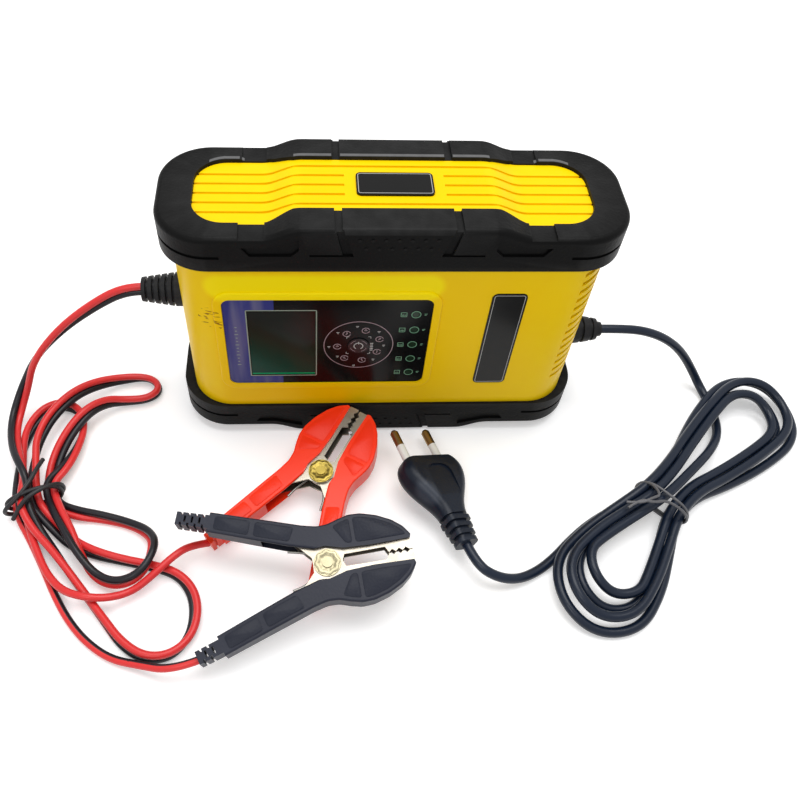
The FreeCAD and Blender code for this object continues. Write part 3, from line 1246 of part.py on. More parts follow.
mainsRoute += HANK_OUT + [tuple(plugEnd - plugAxis * 10.3), tuple(plugEnd)]
keep(addCord("mains_cord", mainsRoute, c.mainsDiameter))


# Twist ties: a band round each bundle with its two ends twisted off to the side.

def tieBand(name, x, y, angle, half, low, high):
    outer = addBlock(name + "_outer", -half - c.tieThick, half + c.tieThick,
                     -c.tieWidth / 2, c.tieWidth / 2, low - c.tieThick, high + c.tieThick)
    inner = addBlock(name + "_inner", -half, half, -c.tieWidth, c.tieWidth, low, high)
    band = cutFrom(name + "_band", outer, [inner])
    return seat(band, x, y, 0, Rotation(Vector(0, 0, 1), number(angle)))


def tieTail(name, points):
    tail = doc.addObject("Part::Feature", name)
    tail.Shape = sweptTube(points, 1.5)[0]
    return tail


keep(joinAll("lead_tie", [
    tieBand("lead_tie", c.leadTieX, c.leadTieY, c.leadTieAngle, 11.2, 1.35, 12.6),
    tieTail("lead_tie_tail_1", [(-159, -66, 13.2), (-157, -61, 15.6), (-158.5, -54, 15.2),
                                (-160.5, -47, 13.4)]),
    tieTail("lead_tie_tail_2", [(-159, -66.5, 13.2), (-161, -71, 15.4), (-166, -76, 14.2),
                                (-170.5, -79, 10.4)])]))
keep(joinAll("mains_tie", [
    tieBand("mains_tie", c.mainsTieX, c.mainsTieY, c.mainsTieAngle, 13.6, 1.3, 16.6),
    tieTail("mains_tie_tail", [(133, -72, 17.2), (127.5, -74.6, 19.6), (119, -77, 20),
                               (111.5, -78.5, 18.4)])]))

# Wires inside the case, from each relief to its terminal on the main board.
for name, x, reliefX, z, spread in (
        ("lead_inner_wires", -66, 1.3 - number(halfLength - c.wall), c.leadExitZ, 1.8),
        ("mains_inner_wires", 60, number(halfLength - c.wall) - 1.3, c.mainsExitZ, 1.5)):
    way = 1 if x < 0 else -1
    wires = []
    for i in (-1, 1):
        level = 65 + 2 * i if x < 0 else 41 + 2 * i
        wire = doc.addObject("Part::Feature", "%s_%d" % (name, i + 2))
        wire.Shape = sweptTube([
            (reliefX, spread * i, number(z)), (reliefX + way * 6, spread * i, number(z)),
            (x - way * 7, 10, level), (x, 10, level)], 2)[0]
        wires.append(wire)
    keep(group(name, wires))


# Check every object, then write each sub-part to its file.
doc.recompute()
for item in doc.Objects:
    if "Invalid" in item.State or "Error" in item.State:
        raise ValueError("object %s is in a bad state: %s" % (item.Label, item.State))
for item in PARTS:
    shape = item.Shape
    if shape.isNull() or not shape.isValid():
        raise ValueError("the shape of %s is not valid" % item.Label)
    if not shape.Solids:
        raise ValueError("the shape of %s has no solid" % item.Label)
    shape.exportStep("parts/%s.step" % item.Label)
print(len(PARTS), "sub-parts written")
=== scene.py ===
import bpy
import bmesh
import math
from mathutils import Matrix, Vector
from mathutils.bvhtree import BVHTree


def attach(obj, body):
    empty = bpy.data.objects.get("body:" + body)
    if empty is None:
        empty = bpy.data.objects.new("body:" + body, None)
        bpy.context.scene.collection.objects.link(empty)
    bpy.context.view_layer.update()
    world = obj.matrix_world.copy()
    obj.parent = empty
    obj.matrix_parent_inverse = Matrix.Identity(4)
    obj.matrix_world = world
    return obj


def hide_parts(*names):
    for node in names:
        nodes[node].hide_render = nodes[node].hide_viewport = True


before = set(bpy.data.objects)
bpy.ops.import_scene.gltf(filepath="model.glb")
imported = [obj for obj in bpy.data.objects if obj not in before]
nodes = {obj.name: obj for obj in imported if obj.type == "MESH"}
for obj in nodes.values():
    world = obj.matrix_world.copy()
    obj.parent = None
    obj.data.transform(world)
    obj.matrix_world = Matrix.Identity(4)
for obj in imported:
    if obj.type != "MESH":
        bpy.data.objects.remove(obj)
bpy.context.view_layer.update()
scene = bpy.context.scene
print("frame loaded")

# camera
cameraSettings = {
    "place": (-0.0351, -0.26321, 0.33263), "yaw": -6.119, "down": 52.621, "roll": 4.284,
    "lens": 37.036, "shift": (0.0482, 0.0004)}


def addCamera(s):
    yaw, down, roll = (math.radians(s[k]) for k in ("yaw", "down", "roll"))
    ahead = Vector((-math.sin(yaw) * math.cos(down), math.cos(yaw) * math.cos(down),
                    -math.sin(down)))
    right = Vector((math.cos(yaw), math.sin(yaw), 0))
    up = right.cross(ahead)
    tiltedRight = math.cos(roll) * right + math.sin(roll) * up
    tiltedUp = math.cos(roll) * up - math.sin(roll) * right
    data = bpy.data.cameras.new("photoCamera")
    data.lens = s["lens"]
    data.sensor_width = 36
    data.sensor_fit = "HORIZONTAL"
    data.shift_x, data.shift_y = s["shift"]
    data.clip_start = 0.01
    camera = bpy.data.objects.new("photoCamera", data)
    scene.collection.objects.link(camera)
    camera.matrix_world = Matrix((
        (tiltedRight.x, tiltedUp.x, -ahead.x, s["place"][0]),
        (tiltedRight.y, tiltedUp.y, -ahead.y, s["place"][1]),
        (tiltedRight.z, tiltedUp.z, -ahead.z, s["place"][2]), (0, 0, 0, 1)))
    scene.camera = camera


addCamera(cameraSettings)
print("camera placed")


# shader helpers
def newGroup(name, inputs, outputs):
    # inputs and outputs give each socket's name and kind
    group = bpy.data.node_groups.new(name, "ShaderNodeTree")
    for way, sockets in (("INPUT", inputs), ("OUTPUT", outputs)):
        for label, kind in sockets.items():
            group.interface.new_socket(name=label, in_out=way, socket_type="NodeSocket" + kind)
    return (group, group.nodes.new("NodeGroupInput").outputs,
            group.nodes.new("NodeGroupOutput").inputs)


def connect(tree, entry, value):
    # the value is another node's output or a constant
    if isinstance(value, bpy.types.NodeSocket):
        tree.links.new(value, entry)
    else:
        entry.default_value = value


def addNode(tree, kind, **values):
    # each value goes to a property of the node, or to an input (with _ for a space)
    node = tree.nodes.new("ShaderNode" + kind)
    for key, value in values.items():
        if hasattr(node, key):
            setattr(node, key, value)
        else:
            connect(tree, node.inputs[key.replace("_", " ")], value)
    return node


def calculate(tree, operation, first, second, kind="Math"):
    node = addNode(tree, kind, operation=operation)
    connect(tree, node.inputs[0], first)
    connect(tree, node.inputs[1], second)
    return node.outputs["Value"]


def blend(tree, mask, base, other):
    # inputs 6 and 7 and output 2 of a Mix node are its colour sockets
    mix = addNode(tree, "Mix", data_type="RGBA", Factor=mask)
    connect(tree, mix.inputs[6], base)
    connect(tree, mix.inputs[7], other)
    return mix.outputs[2]


def ramp(tree, value, start=0, end=1, **more):
    # 0 at the start value and 1 at the end value
    return addNode(tree, "MapRange", Value=value, From_Min=start, From_Max=end,
                   **more).outputs["Result"]


def noise(tree, place, scale, detail):
    return addNode(tree, "TexNoise", Vector=place, Scale=scale, Detail=detail).outputs["Fac"]


def objectPlace(tree):
    return addNode(tree, "TexCoord").outputs["Object"]


def stretched(tree, scale, turn=0):
    # the place on the object, turned about Y and stretched
    return addNode(tree, "Mapping", Vector=objectPlace(tree), Rotation=(0, turn, 0),
                   Scale=scale).outputs["Vector"]


def makeGrain():
    # fine pits of a moulded surface: a height for a Bump node
    group, given, result = newGroup("mouldGrain", {"Scale": "Float"}, {"Height": "Float"})
    place = objectPlace(group)
    pits = addNode(group, "TexVoronoi", Vector=place, Scale=given["Scale"])
    connect(group, result["Height"], calculate(
        group, "ADD", noise(group, place, given["Scale"], detail=3.0),
        pits.outputs["Distance"]))
    return group


def makeVariation():
    # two near shades and two near roughness values in slow soft clouds
    group, given, result = newGroup(
        "softVariation", {"Color": "Color", "Other": "Color", "Scale": "Float", "Low": "Float",
                          "High": "Float"}, {"Color": "Color", "Roughness": "Float"})
    cloud = noise(group, objectPlace(group), given["Scale"], detail=4.0)
    connect(group, result["Color"], blend(group, cloud, given["Color"], given["Other"]))
    connect(group, result["Roughness"],
            ramp(group, cloud, To_Min=given["Low"], To_Max=given["High"]))
    return group


def makeEdgeWearAndSheen():
    # 1 on convex edges, broken up by noise
    group, given, result = newGroup("edgeRubAndSheen", {"Amount": "Float"}, {"Mask": "Float"})
    shape = addNode(group, "NewGeometry").outputs["Pointiness"]
    broken = calculate(group, "MULTIPLY", ramp(group, shape, start=0.52, end=0.6),
                       noise(group, objectPlace(group), scale=140.0, detail=4.0))
    connect(group, result["Mask"], calculate(group, "MULTIPLY", broken, given["Amount"]))
    return group


def makeScuff():
    # short rubbed strokes inside a small ball round one spot
    group, given, result = newGroup(
        "rubbedSpot", {"Spot": "Vector", "Reach": "Float"}, {"Mask": "Float"})
    away = calculate(group, "DISTANCE", objectPlace(group), given["Spot"], "VectorMath")
    inside = calculate(group, "LESS_THAN", away, given["Reach"])
    strokes = noise(group, stretched(group, scale=(260, 260, 900), turn=0.6), scale=1.0,
                    detail=1.0)
    connect(group, result["Mask"],
            calculate(group, "MULTIPLY", inside, ramp(group, strokes, start=0.56, end=0.64)))
    return group


def makeSoftSpot():
    # 1 at one spot, fading out to the reach
    group, given, result = newGroup(
        "softSpot", {"Spot": "Vector", "Reach": "Float"}, {"Mask": "Float"})
    away = calculate(group, "DISTANCE", objectPlace(group), given["Spot"], "VectorMath")
    share = calculate(group, "DIVIDE", away, given["Reach"])
    connect(group, result["Mask"],
            ramp(group, share, start=1.0, end=0.55, interpolation_type="SMOOTHSTEP"))
    return group


def makeFacing():
    # 1 where the surface faces one way, soft at the border
    group, given, result = newGroup(
        "facingMask", {"Way": "Vector", "Level": "Float"}, {"Mask": "Float"})
    normal = addNode(group, "NewGeometry").outputs["Normal"]
    facing = calculate(group, "DOT_PRODUCT", normal, given["Way"], "VectorMath")
    less = calculate(group, "SUBTRACT", facing, given["Level"])
    connect(group, result["Mask"], ramp(group, less, start=-0.08, end=0.08))
    return group


groups = {"grain": makeGrain(), "variation": makeVariation(), "edge": makeEdgeWearAndSheen(),
          "scuff": makeScuff(), "facing": makeFacing(), "softSpot": makeSoftSpot()}


def useGroup(tree, name, **values):
    node = tree.nodes.new("ShaderNodeGroup")
    node.node_tree = groups[name]
    for key, value in values.items():
        node.inputs[key].default_value = value
    return node.outputs


def newMaterial(name, **sockets):
    material = bpy.data.materials.new(name)
    material.use_nodes = True
    shader = material.node_tree.nodes["Principled BSDF"].inputs
    for key, value in sockets.items():
        shader[key.replace("_", " ")].default_value = value
    return material, material.node_tree, shader


def rgba(shade):
    # a grey is given as one number
    return (*shade, 1) if isinstance(shade, tuple) else (shade, shade, shade, 1)


def cloudyBase(tree, shader, s):
    # the two shades and the roughness in clouds
    clouds = useGroup(tree, "variation", Color=rgba(s["color"]), Other=rgba(s["other"]),
                      Scale=s["cloudScale"], Low=s["rough"][0], High=s["rough"][1])
    connect(tree, shader["Roughness"], clouds["Roughness"])
    return clouds["Color"]


def wornAndSheenBase(tree, shader, s):
    # the same with lighter edges: rubbed wear, and on the black bumper a painted highlight
    base = cloudyBase(tree, shader, s)
    return blend(tree, useGroup(tree, "edge", Amount=s["edge"])["Mask"], base,
                 rgba(s["edgeColor"]))


def endRegion(tree, s):
    # 1 on the last stretch of a wire: left of a slanted line on the bench, or near the front
    place = objectPlace(tree)
    along = calculate(tree, "DOT_PRODUCT", place, (1, s["slope"], 0), "VectorMath")
    depth = addNode(tree, "SeparateXYZ", Vector=place).outputs["Y"]
    return calculate(tree, "MAXIMUM", calculate(tree, "LESS_THAN", along, s["left"]),
                     calculate(tree, "LESS_THAN", depth, s["front"]))


def addBump(tree, shader, height, strength):
    bump = addNode(tree, "Bump", Strength=strength, Distance=0.0002, Height=height)
    connect(tree, shader["Normal"], bump.outputs["Normal"])


def mouldedMaterial(name, s):
    # plastic or rubber: soft shade variation, fine grain, lighter edges (rubbed wear, and on the
    # black bumper a painted highlight)
    material, tree, shader = newMaterial(name, Specular_IOR_Level=s["specular"])
    base = wornAndSheenBase(tree, shader, s)
    # spots: rubbed scuffs, and soft lighter spots; on the yellow case those are a painted
    # highlight band
    for kind, spot, reach, color in s["spots"]:
        mask = useGroup(tree, kind, Spot=spot, Reach=reach)["Mask"]
        base = blend(tree, mask, base, rgba(color))
    if "outerColor" in s:
        outer = useGroup(tree, "facing", Way=s["outerWay"], Level=s["outerLevel"])["Mask"]
        both = calculate(tree, "MULTIPLY", outer, endRegion(tree, s["region"]))
        base = blend(tree, both, base, rgba(s["outerColor"]))
    connect(tree, shader["Base Color"], base)
    addBump(tree, shader, useGroup(tree, "grain", Scale=s["grainScale"])["Height"], s["bump"])
    return material


def metalMaterial(name, s):
    # plated or bare metal: brushed streaks, tarnish clouds and brighter edges
    material, tree, shader = newMaterial(name, Metallic=s["metallic"])
    connect(tree, shader["Base Color"], wornAndSheenBase(tree, shader, s))
    streaks = noise(tree, stretched(tree, s["streak"]), scale=90.0, detail=3.0)
    addBump(tree, shader, streaks, s["bump"])
    return material


# finishes: the usual values, then each one's own
mouldedUsual = {"rough": (0.3, 0.4), "specular": 0.5, "cloudScale": 25, "edge": 0.5,
                "grainScale": 900, "bump": 0.1, "spots": ()}
moulded = {
    "yellowCase": {"color": (0.95, 0.625, 0.0), "other": (0.9, 0.575, 0.0), "bump": 0.06,
                   "grainScale": 1400, "edgeColor": (0.96, 0.76, 0.01), "edge": 0.3,
                   "specular": 0.1,
                   "spots": [("scuff", (-0.0752, -0.0275, 0.0788), 0.0062, (0.32, 0.13, 0.0))]
                   # the row of soft lighter spots above the display is a painted highlight band
                   + [("softSpot", (x / 1000, -0.0285, 0.0975), 0.0085, (1.0, 0.79, 0.0))
                      for x in range(-70, 20, 6)]},
    # its lighter edges (edgeColor) are a painted highlight
    "blackBumper": {"color": 0.003, "other": 0.006, "rough": (0.36, 0.48), "bump": 0.3,
                    "grainScale": 800, "edgeColor": 0.035, "edge": 0.7, "specular": 0.06},
    "barePlate": {"color": 0.004, "other": 0.008, "rough": (0.12, 0.18), "bump": 0.02,
                  "specular": 0.12},
    "namePlate": {"color": 0.006, "other": 0.016, "rough": (0.14, 0.2), "bump": 0.02,
                  "specular": 0.14, "cloudScale": 40},
    "reliefRubber": {"color": (0.007, 0.007, 0.008), "other": (0.012, 0.012, 0.013),
                     "rough": (0.4, 0.55), "bump": 0.25, "grainScale": 800,
                     "edgeColor": (0.04, 0.04, 0.045), "specular": 0.18},
    "plugRubber": {"color": (0.005, 0.008, 0.016), "other": (0.008, 0.012, 0.022),
                   "bump": 0.15, "edgeColor": (0.035, 0.045, 0.065), "specular": 0.2,
                   "spots": [("softSpot", (0.0165, -0.0785, 0.0215), 0.0085,
                              (0.035, 0.042, 0.058))]},
    "redSleeve": {"color": (1.0, 0.042, 0.008), "other": (0.92, 0.03, 0.006),
                  "rough": (0.26, 0.36), "bump": 0.08, "edgeColor": (1.0, 0.09, 0.03),
                  "specular": 0.24},
    "redPad": {"color": (0.95, 0.034, 0.007), "other": (0.85, 0.024, 0.005),
               "rough": (0.34, 0.46), "bump": 0.22, "edgeColor": (1.0, 0.08, 0.03),
               "specular": 0.22},
    "blackSleeve": {"color": (0.012, 0.014, 0.024), "other": (0.018, 0.02, 0.033),
                    "rough": (0.36, 0.48), "bump": 0.12, "edgeColor": (0.04, 0.045, 0.065),
                    "specular": 0.2},
    "blackPad": {"color": (0.011, 0.013, 0.022), "other": (0.016, 0.018, 0.03),
                 "rough": (0.42, 0.55), "bump": 0.3, "edgeColor": (0.035, 0.04, 0.055),
                 "specular": 0.18},
    "redWire": {"color": (0.75, 0.036, 0.036), "other": (0.62, 0.024, 0.025),
                "rough": (0.3, 0.38), "bump": 0.08, "edge": 0.0, "specular": 0.35},
    "blackWire": {"color": (0.007, 0.006, 0.009), "other": (0.011, 0.01, 0.014),
                  "rough": (0.28, 0.38), "bump": 0.08, "edge": 0.0, "specular": 0.28,
                  "outerColor": (0.72, 0.04, 0.04), "outerWay": (-0.55, -0.8, 0.2),
                  "outerLevel": 0.15,
                  "region": {"slope": 0.78, "left": -0.22, "front": -0.1438}},
    "mainsJacket": {"color": (0.003, 0.008, 0.02), "other": (0.006, 0.012, 0.027),
                    "rough": (0.26, 0.36), "bump": 0.08, "edge": 0.0, "specular": 0.28},
    # pale grey of the painted highlight strips on the bumper's rear inner edge
    "rimHighlightGrey": {"color": (0.05, 0.05, 0.052), "other": (0.11, 0.11, 0.112), "bump": 0.15,
                "cloudScale": 300},
    "blackTie": {"color": (0.01, 0.01, 0.011), "other": (0.022, 0.022, 0.025),
                 "rough": (0.3, 0.5), "bump": 0.3, "specular": 0.3},
    "greyTie": {"color": (0.04, 0.04, 0.045), "other": (0.12, 0.12, 0.13),
                "rough": (0.3, 0.5), "bump": 0.3},
    "greenBoard": {"color": (0.01, 0.14, 0.04), "other": (0.015, 0.2, 0.06),
                   "rough": (0.25, 0.4), "bump": 0.2, "grainScale": 500},
    "darkPart": {"color": 0.02, "other": 0.035, "rough": (0.35, 0.5), "bump": 0.2},
    "blueCan": {"color": (0.02, 0.04, 0.2), "other": (0.03, 0.05, 0.24), "rough": (0.2, 0.3),
                "bump": 0.05},
    "relayCase": {"color": (0.04, 0.12, 0.35), "other": (0.05, 0.14, 0.4)},
    "terminalGreen": {"color": (0.03, 0.2, 0.08), "other": (0.04, 0.24, 0.1),
                      "rough": (0.3, 0.45)},
    "fuseTube": {"color": (0.8, 0.78, 0.7), "other": (0.7, 0.68, 0.6), "rough": (0.1, 0.2),
                 "bump": 0.05},
    "paleSleeve": {"color": (0.8, 0.8, 0.77), "other": (0.72, 0.72, 0.69), "bump": 0.08,
                   "edgeColor": (0.85, 0.85, 0.82)},
    "lampLens": {"color": (0.006, 0.018, 0.008), "other": (0.01, 0.03, 0.013),
                 "rough": (0.1, 0.18), "bump": 0.02, "specular": 0.3},
    "buttonCap": {"color": (0.008, 0.008, 0.009), "other": (0.014, 0.014, 0.015),
                  "rough": (0.2, 0.3), "bump": 0.05, "specular": 0.25},
    "printInk": {"color": (0.5, 0.5, 0.48), "other": (0.38, 0.38, 0.37), "bump": 0.02},
    "ringInk": {"color": (0.33, 0.24, 0.26), "other": (0.24, 0.17, 0.19), "bump": 0.02},
    "greenInk": {"color": (0.16, 0.36, 0.22), "other": (0.1, 0.26, 0.15), "bump": 0.02},
    "frameInk": {"color": (0.3, 0.36, 0.29), "other": (0.2, 0.26, 0.2), "bump": 0.02},
}
metalUsual = {"rough": (0.3, 0.45), "metallic": 1.0, "cloudScale": 120, "edge": 0.8,
              "streak": (1, 30, 30), "bump": 0.08}
metals = {
    "jawPlate": {"color": (0.33, 0.3, 0.25), "other": (0.17, 0.14, 0.1), "rough": (0.26, 0.42),
                 "edgeColor": (0.45, 0.42, 0.36)},
    "rivetBrass": {"color": (0.36, 0.33, 0.22), "other": (0.2, 0.17, 0.1),
                   "streak": (20, 20, 20)},
    "rivetGold": {"color": (0.34, 0.26, 0.06), "other": (0.2, 0.14, 0.03),
                  "streak": (20, 20, 20)},
    "springSteel": {"color": (0.3, 0.29, 0.27), "other": (0.2, 0.19, 0.17)},
    "pinBrass": {"color": (0.36, 0.24, 0.1), "other": (0.22, 0.13, 0.05), "rough": (0.25, 0.4)},
    "zincScrew": {"color": 0.6, "other": (0.45, 0.45, 0.44), "rough": (0.25, 0.4)},
    "sinkAluminium": {"color": (0.72, 0.72, 0.73), "other": 0.6, "streak": (1, 1, 40)},
    "ferrite": {"color": (0.1, 0.1, 0.11), "other": (0.06, 0.06, 0.065), "rough": (0.4, 0.6),
                "metallic": 0.4},
    "copperWinding": {"color": (0.75, 0.32, 0.12), "other": (0.55, 0.2, 0.08),
                      "rough": (0.2, 0.35), "streak": (2, 60, 2), "bump": 0.6},
}
finish = {name: mouldedMaterial(name, {"edgeColor": s["other"], **mouldedUsual, **s})
          for name, s in moulded.items()}
finish.update({name: metalMaterial(name, {"edgeColor": s["color"], **metalUsual, **s})
               for name, s in metals.items()})
print("finishes made")


# control panel: printed sheet and screen, rectangles in metres
panelPrint = {
    "color": 0.004, "other": 0.004, "rough": (0.14, 0.22), "cloudScale": 30, "specular": 0.12,
    "blue": (0.035, 0.04, 0.2), "sheen": (0.12, 0.12, 0.24),
    "streakScale": (150, 30, 14), "streakTurn": 0.7, "streakRange": (0.46, 0.66),
    "blueAreas": ((-0.0705, -0.0605, 0.036, 0.092), (-0.0705, -0.0488, 0.0846, 0.092),
                  (-0.0705, -0.0462, 0.036, 0.0418))}
screenPrint = {
    "color": (0.005, 0.005, 0.004), "other": (0.008, 0.012, 0.008), "rough": (0.1, 0.16),
    "cloudScale": 18, "specular": 0.1,
    # the reddish tint towards the right of the screen is a painted reflection of the red clamp
    "tints": (((1, 0, 0), (-0.046, -0.032), (0.022, 0.009, 0.007)),
              ((-0.5, 0, -1), (-0.05, -0.022), (0.006, 0.05, 0.032))),
    "line": (-0.0599, -0.0318, 0.0429, 0.0437), "lineColor": (0.0, 0.34, 0.12)}


def boxMask(tree, s):
    # 1 between the left, right, lower and upper limit
    place = addNode(tree, "SeparateXYZ", Vector=objectPlace(tree)).outputs
    mask = calculate(tree, "GREATER_THAN", place["X"], s[0])
    for axis, operation, limit in (("X", "LESS_THAN", s[1]), ("Z", "GREATER_THAN", s[2]),
                                   ("Z", "LESS_THAN", s[3])):
        mask = calculate(tree, "MULTIPLY", mask,
                         calculate(tree, operation, place[axis], limit))
    return mask


def makePanelSheet(s):
    # blue areas with broad slanted streaks, as a pale film reflects
    material, tree, shader = newMaterial("panelSheet", Specular_IOR_Level=s["specular"])
    base = cloudyBase(tree, shader, s)
    streaks = noise(tree, stretched(tree, s["streakScale"], s["streakTurn"]), scale=1.0,
                    detail=2.0)
    blue = blend(tree, ramp(tree, streaks, *s["streakRange"]), rgba(s["blue"]),
                 rgba(s["sheen"]))
    for area in s["blueAreas"]:
        base = blend(tree, boxMask(tree, area), base, blue)
    connect(tree, shader["Base Color"], base)
    return material


def makeScreen(s):
    # dark glass with two soft tints, the reddish one a painted reflection of the red clamp, and a
    # lit line
    material, tree, shader = newMaterial("screenGlass", Specular_IOR_Level=s["specular"])
    base = cloudyBase(tree, shader, s)
    for way, limits, tint in s["tints"]:
        along = calculate(tree, "DOT_PRODUCT", objectPlace(tree), way, "VectorMath")
        base = blend(tree, ramp(tree, along, *limits), base, rgba(tint))
    connect(tree, shader["Base Color"],
            blend(tree, boxMask(tree, s["line"]), base, rgba(s["lineColor"])))
    return material


finish["panelSheet"] = makePanelSheet(panelPrint)
finish["screenGlass"] = makeScreen(screenPrint)
print("panel finishes made")

# CAD nodes and their finishes
nodeFinish = {
    "yellowCase": ("front_shell", "back_shell", "top_panel", "bottom_panel"),
    "blackBumper": ("upper_bumper", "lower_bumper"),
    "barePlate": ("top_badge", "rating_plate"), "namePlate": ("name_plate",),
    "panelSheet": ("display_overlay",), "screenGlass": ("lcd_screen",),
    "lampLens": ("status_lights",), "buttonCap": ("mode_button",),
    "darkPart": ("mode_switch", "power_transistors", "fan_frame", "fan_rotor"),
    "greenBoard": ("display_board", "main_board"),
    "ferrite": ("transformer_core",), "copperWinding": ("transformer_winding", "choke"),
    "sinkAluminium": ("heat_sink",), "blueCan": ("filter_capacitors", "small_capacitors"),
    "relayCase": ("relay",), "fuseTube": ("fuse",), "terminalGreen": ("wire_terminals",),
    "zincScrew": ("case_screws", "board_screws"),
    "reliefRubber": ("dc_relief", "mains_gland"),
    "blackSleeve": ("black_sleeve_fixed", "black_sleeve_moving"),
    "redSleeve": ("red_sleeve_fixed", "red_sleeve_moving"),
    "jawPlate": ("black_jaw_fixed", "black_jaw_moving", "red_jaw_fixed", "red_jaw_moving"),
    "rivetBrass": ("black_rivet",), "rivetGold": ("red_rivet",),
    "springSteel": ("black_spring", "red_spring", "fuse_holder"),
    "redWire": ("red_wire", "lead_inner_wires"), "blackWire": ("black_wire", "mains_inner_wires"),
    "mainsJacket": ("mains_cord",), "blackTie": ("lead_tie",), "greyTie": ("mains_tie",),
    "plugRubber": ("plug_body",), "paleSleeve": ("pin_sleeves",), "pinBrass": ("plug_pins",),
}
for name, members in nodeFinish.items():
    for member in members:
        for slot in nodes[member].material_slots:
            slot.link = "OBJECT"
            slot.material = finish[name]
print("CAD nodes finished")


# cords, in millimetres; a point of the pair also has a turn: 0 with red on the left of the
# way along it, 90 with red on top
tieLead = {"place": (-157.8, -68.6), "across": (6.75, 2.52), "along": (0.35, -0.937),
           "levels": (3.2, 6.9, 10.6)}


def pairPoint(column, along, level, turn=180):
    # a place under the lead tie
    s = tieLead
    return (s["place"][0] + s["across"][0] * column + s["along"][0] * along,
            s["place"][1] + s["across"][1] * column + s["along"][1] * along,
            s["levels"][level], turn)


arrival = [
    (-107.5, 0, 69, 90), (-115.5, 0, 69, 90), (-130.5, -1.5, 60.5, 80), (-147.5, -4.5, 48, 60),
    (-162.5, -8.5, 32, 30), (-169.8, -13, 17, -10), (-173.6, -20, 9.5, -40),
    (-174.3, -28.5, 7.6, -50), (-172.6, -37, 8.4, -50), (-169.8, -45, 10.2, -55),
    (-166.2, -52.5, 12, -70), (-162.3, -60, 12.2, -100)]
bigLoop = [
    (-154.5, -84, 7.4, 140), (-146, -93.5, 6, 110), (-138, -103.5, 5, 90),
    (-129.3, -114, 3.3, 90), (-120, -125.5, 3.3, 85), (-112, -135.5, 3.3, 75),
    (-102, -142.2, 3.3, 75), (-91.5, -141.5, 3.3, 90), (-84.3, -134, 3.3, 120),
    (-82.4, -123.5, 3.3, 135), (-84.8, -113.3, 3.3, 125), (-92, -105.3, 3.3, 100),
    (-103, -101.5, 3.3, 90), (-116, -98.5, 3.3, 90), (-128, -95, 3.3, 110),
    (-138.5, -90, 3, 150), (-146.5, -82.5, 3.6, 180)]
longLoop = [
    (-161, -50, 7.4, 120), (-161.3, -38, 8.6, 70), (-157, -25.5, 10.6, 55),
    (-149, -13.8, 11, 55), (-140, -5.2, 8.4, 65), (-128.5, 1.2, 4.4, 90),
    (-116.5, 3.2, 3.4, 120), (-110, -1.5, 3.4, 100), (-110, -7.2, 3.4, 80),
    (-115.5, -11.2, 3.4, 70), (-125.5, -12.6, 4.2, 80), (-133.5, -16, 8.2, 110),
    (-141, -23.5, 10.4, 130), (-148.3, -35, 8.2, 140), (-152.8, -47.5, 4.6, 155)]
dropLoop = [
    (-139.5, -75, 3.4, 215), (-127, -77.2, 3.3, 255), (-114.5, -80.8, 3.3, 270),
    (-105, -87, 5.6, 250), (-101.4, -95.8, 10.4, 230), (-105, -107.8, 9.8, 270),
    (-115.3, -111.5, 6.4, 285), (-126, -107, 4.8, 290), (-133.8, -97, 7.8, 250),
    (-140, -86, 8.8, 205)]
smallLoop = [
    (-147, -52, 6.2, 160), (-144, -41, 4.4, 130), (-142.5, -29, 3.3, 105),
    (-145.5, -18.5, 3.6, 95), (-154, -13.5, 3.6, 110), (-162.5, -16.5, 3.4, 130),
    (-167.5, -25, 3.3, 125), (-169.3, -35, 3.3, 95), (-168.8, -45.5, 3.3, 50)]
pairRoute = (arrival + [pairPoint(-0.35, -5, 2, -150), pairPoint(-0.6, 5, 2)] + bigLoop
             + [pairPoint(0, 5, 1), pairPoint(0, -5, 1)] + longLoop
             + [pairPoint(1, -5, 0), pairPoint(1, 5, 0)] + dropLoop
             + [pairPoint(1, 6, 1), pairPoint(1, -5, 1)] + smallLoop
             + [pairPoint(-1, -5, 0, 0), pairPoint(-1, 5, 0, 0)])
blackEnd = [
    (-157.3, -87, 1.7), (-149.5, -100.3, 1.7), (-142.8, -112.6, 1.7), (-135.3, -124.2, 1.7),
    (-126.6, -133.8, 1.7), (-115.6, -141.5, 1.9), (-103.6, -145, 4.2), (-89.8, -149.4, 9.2)]
redEnd = [
    (-157.3, -84, 4.9), (-151.8, -95.5, 5.1), (-146, -105.5, 5.4), (-138.5, -113.3, 6.6),
    (-129.3, -117.6, 9.4), (-119.5, -118, 7.8), (-110, -114.5, 5.4), (-101.5, -109, 8.8),
    (-92.4, -99.8, 10.2), (-86, -94.8, 8.6)]


def beside(points, offset):
    # one wire of the pair: its route turns round the pair's as the lead twists
    spots = [Vector(p[:3]) for p in points]
    out = []
    for i, spot in enumerate(spots):
        before = (spot - spots[i - 1] if i else spots[1] - spot).normalized()
        after = (spots[i + 1] - spot if i + 1 < len(spots) else spot - spots[i - 1]).normalized()
        along = (before + after).normalized()
        left = Vector((-along.y, along.x, 0)).normalized()
        above = along.cross(left)
        turn = math.radians(points[i][3])
        half = before.angle(after) / 2
        out.append(spot + left * (offset * math.cos(turn) / math.cos(half))
                   + above * (offset * math.sin(turn)))
    return out


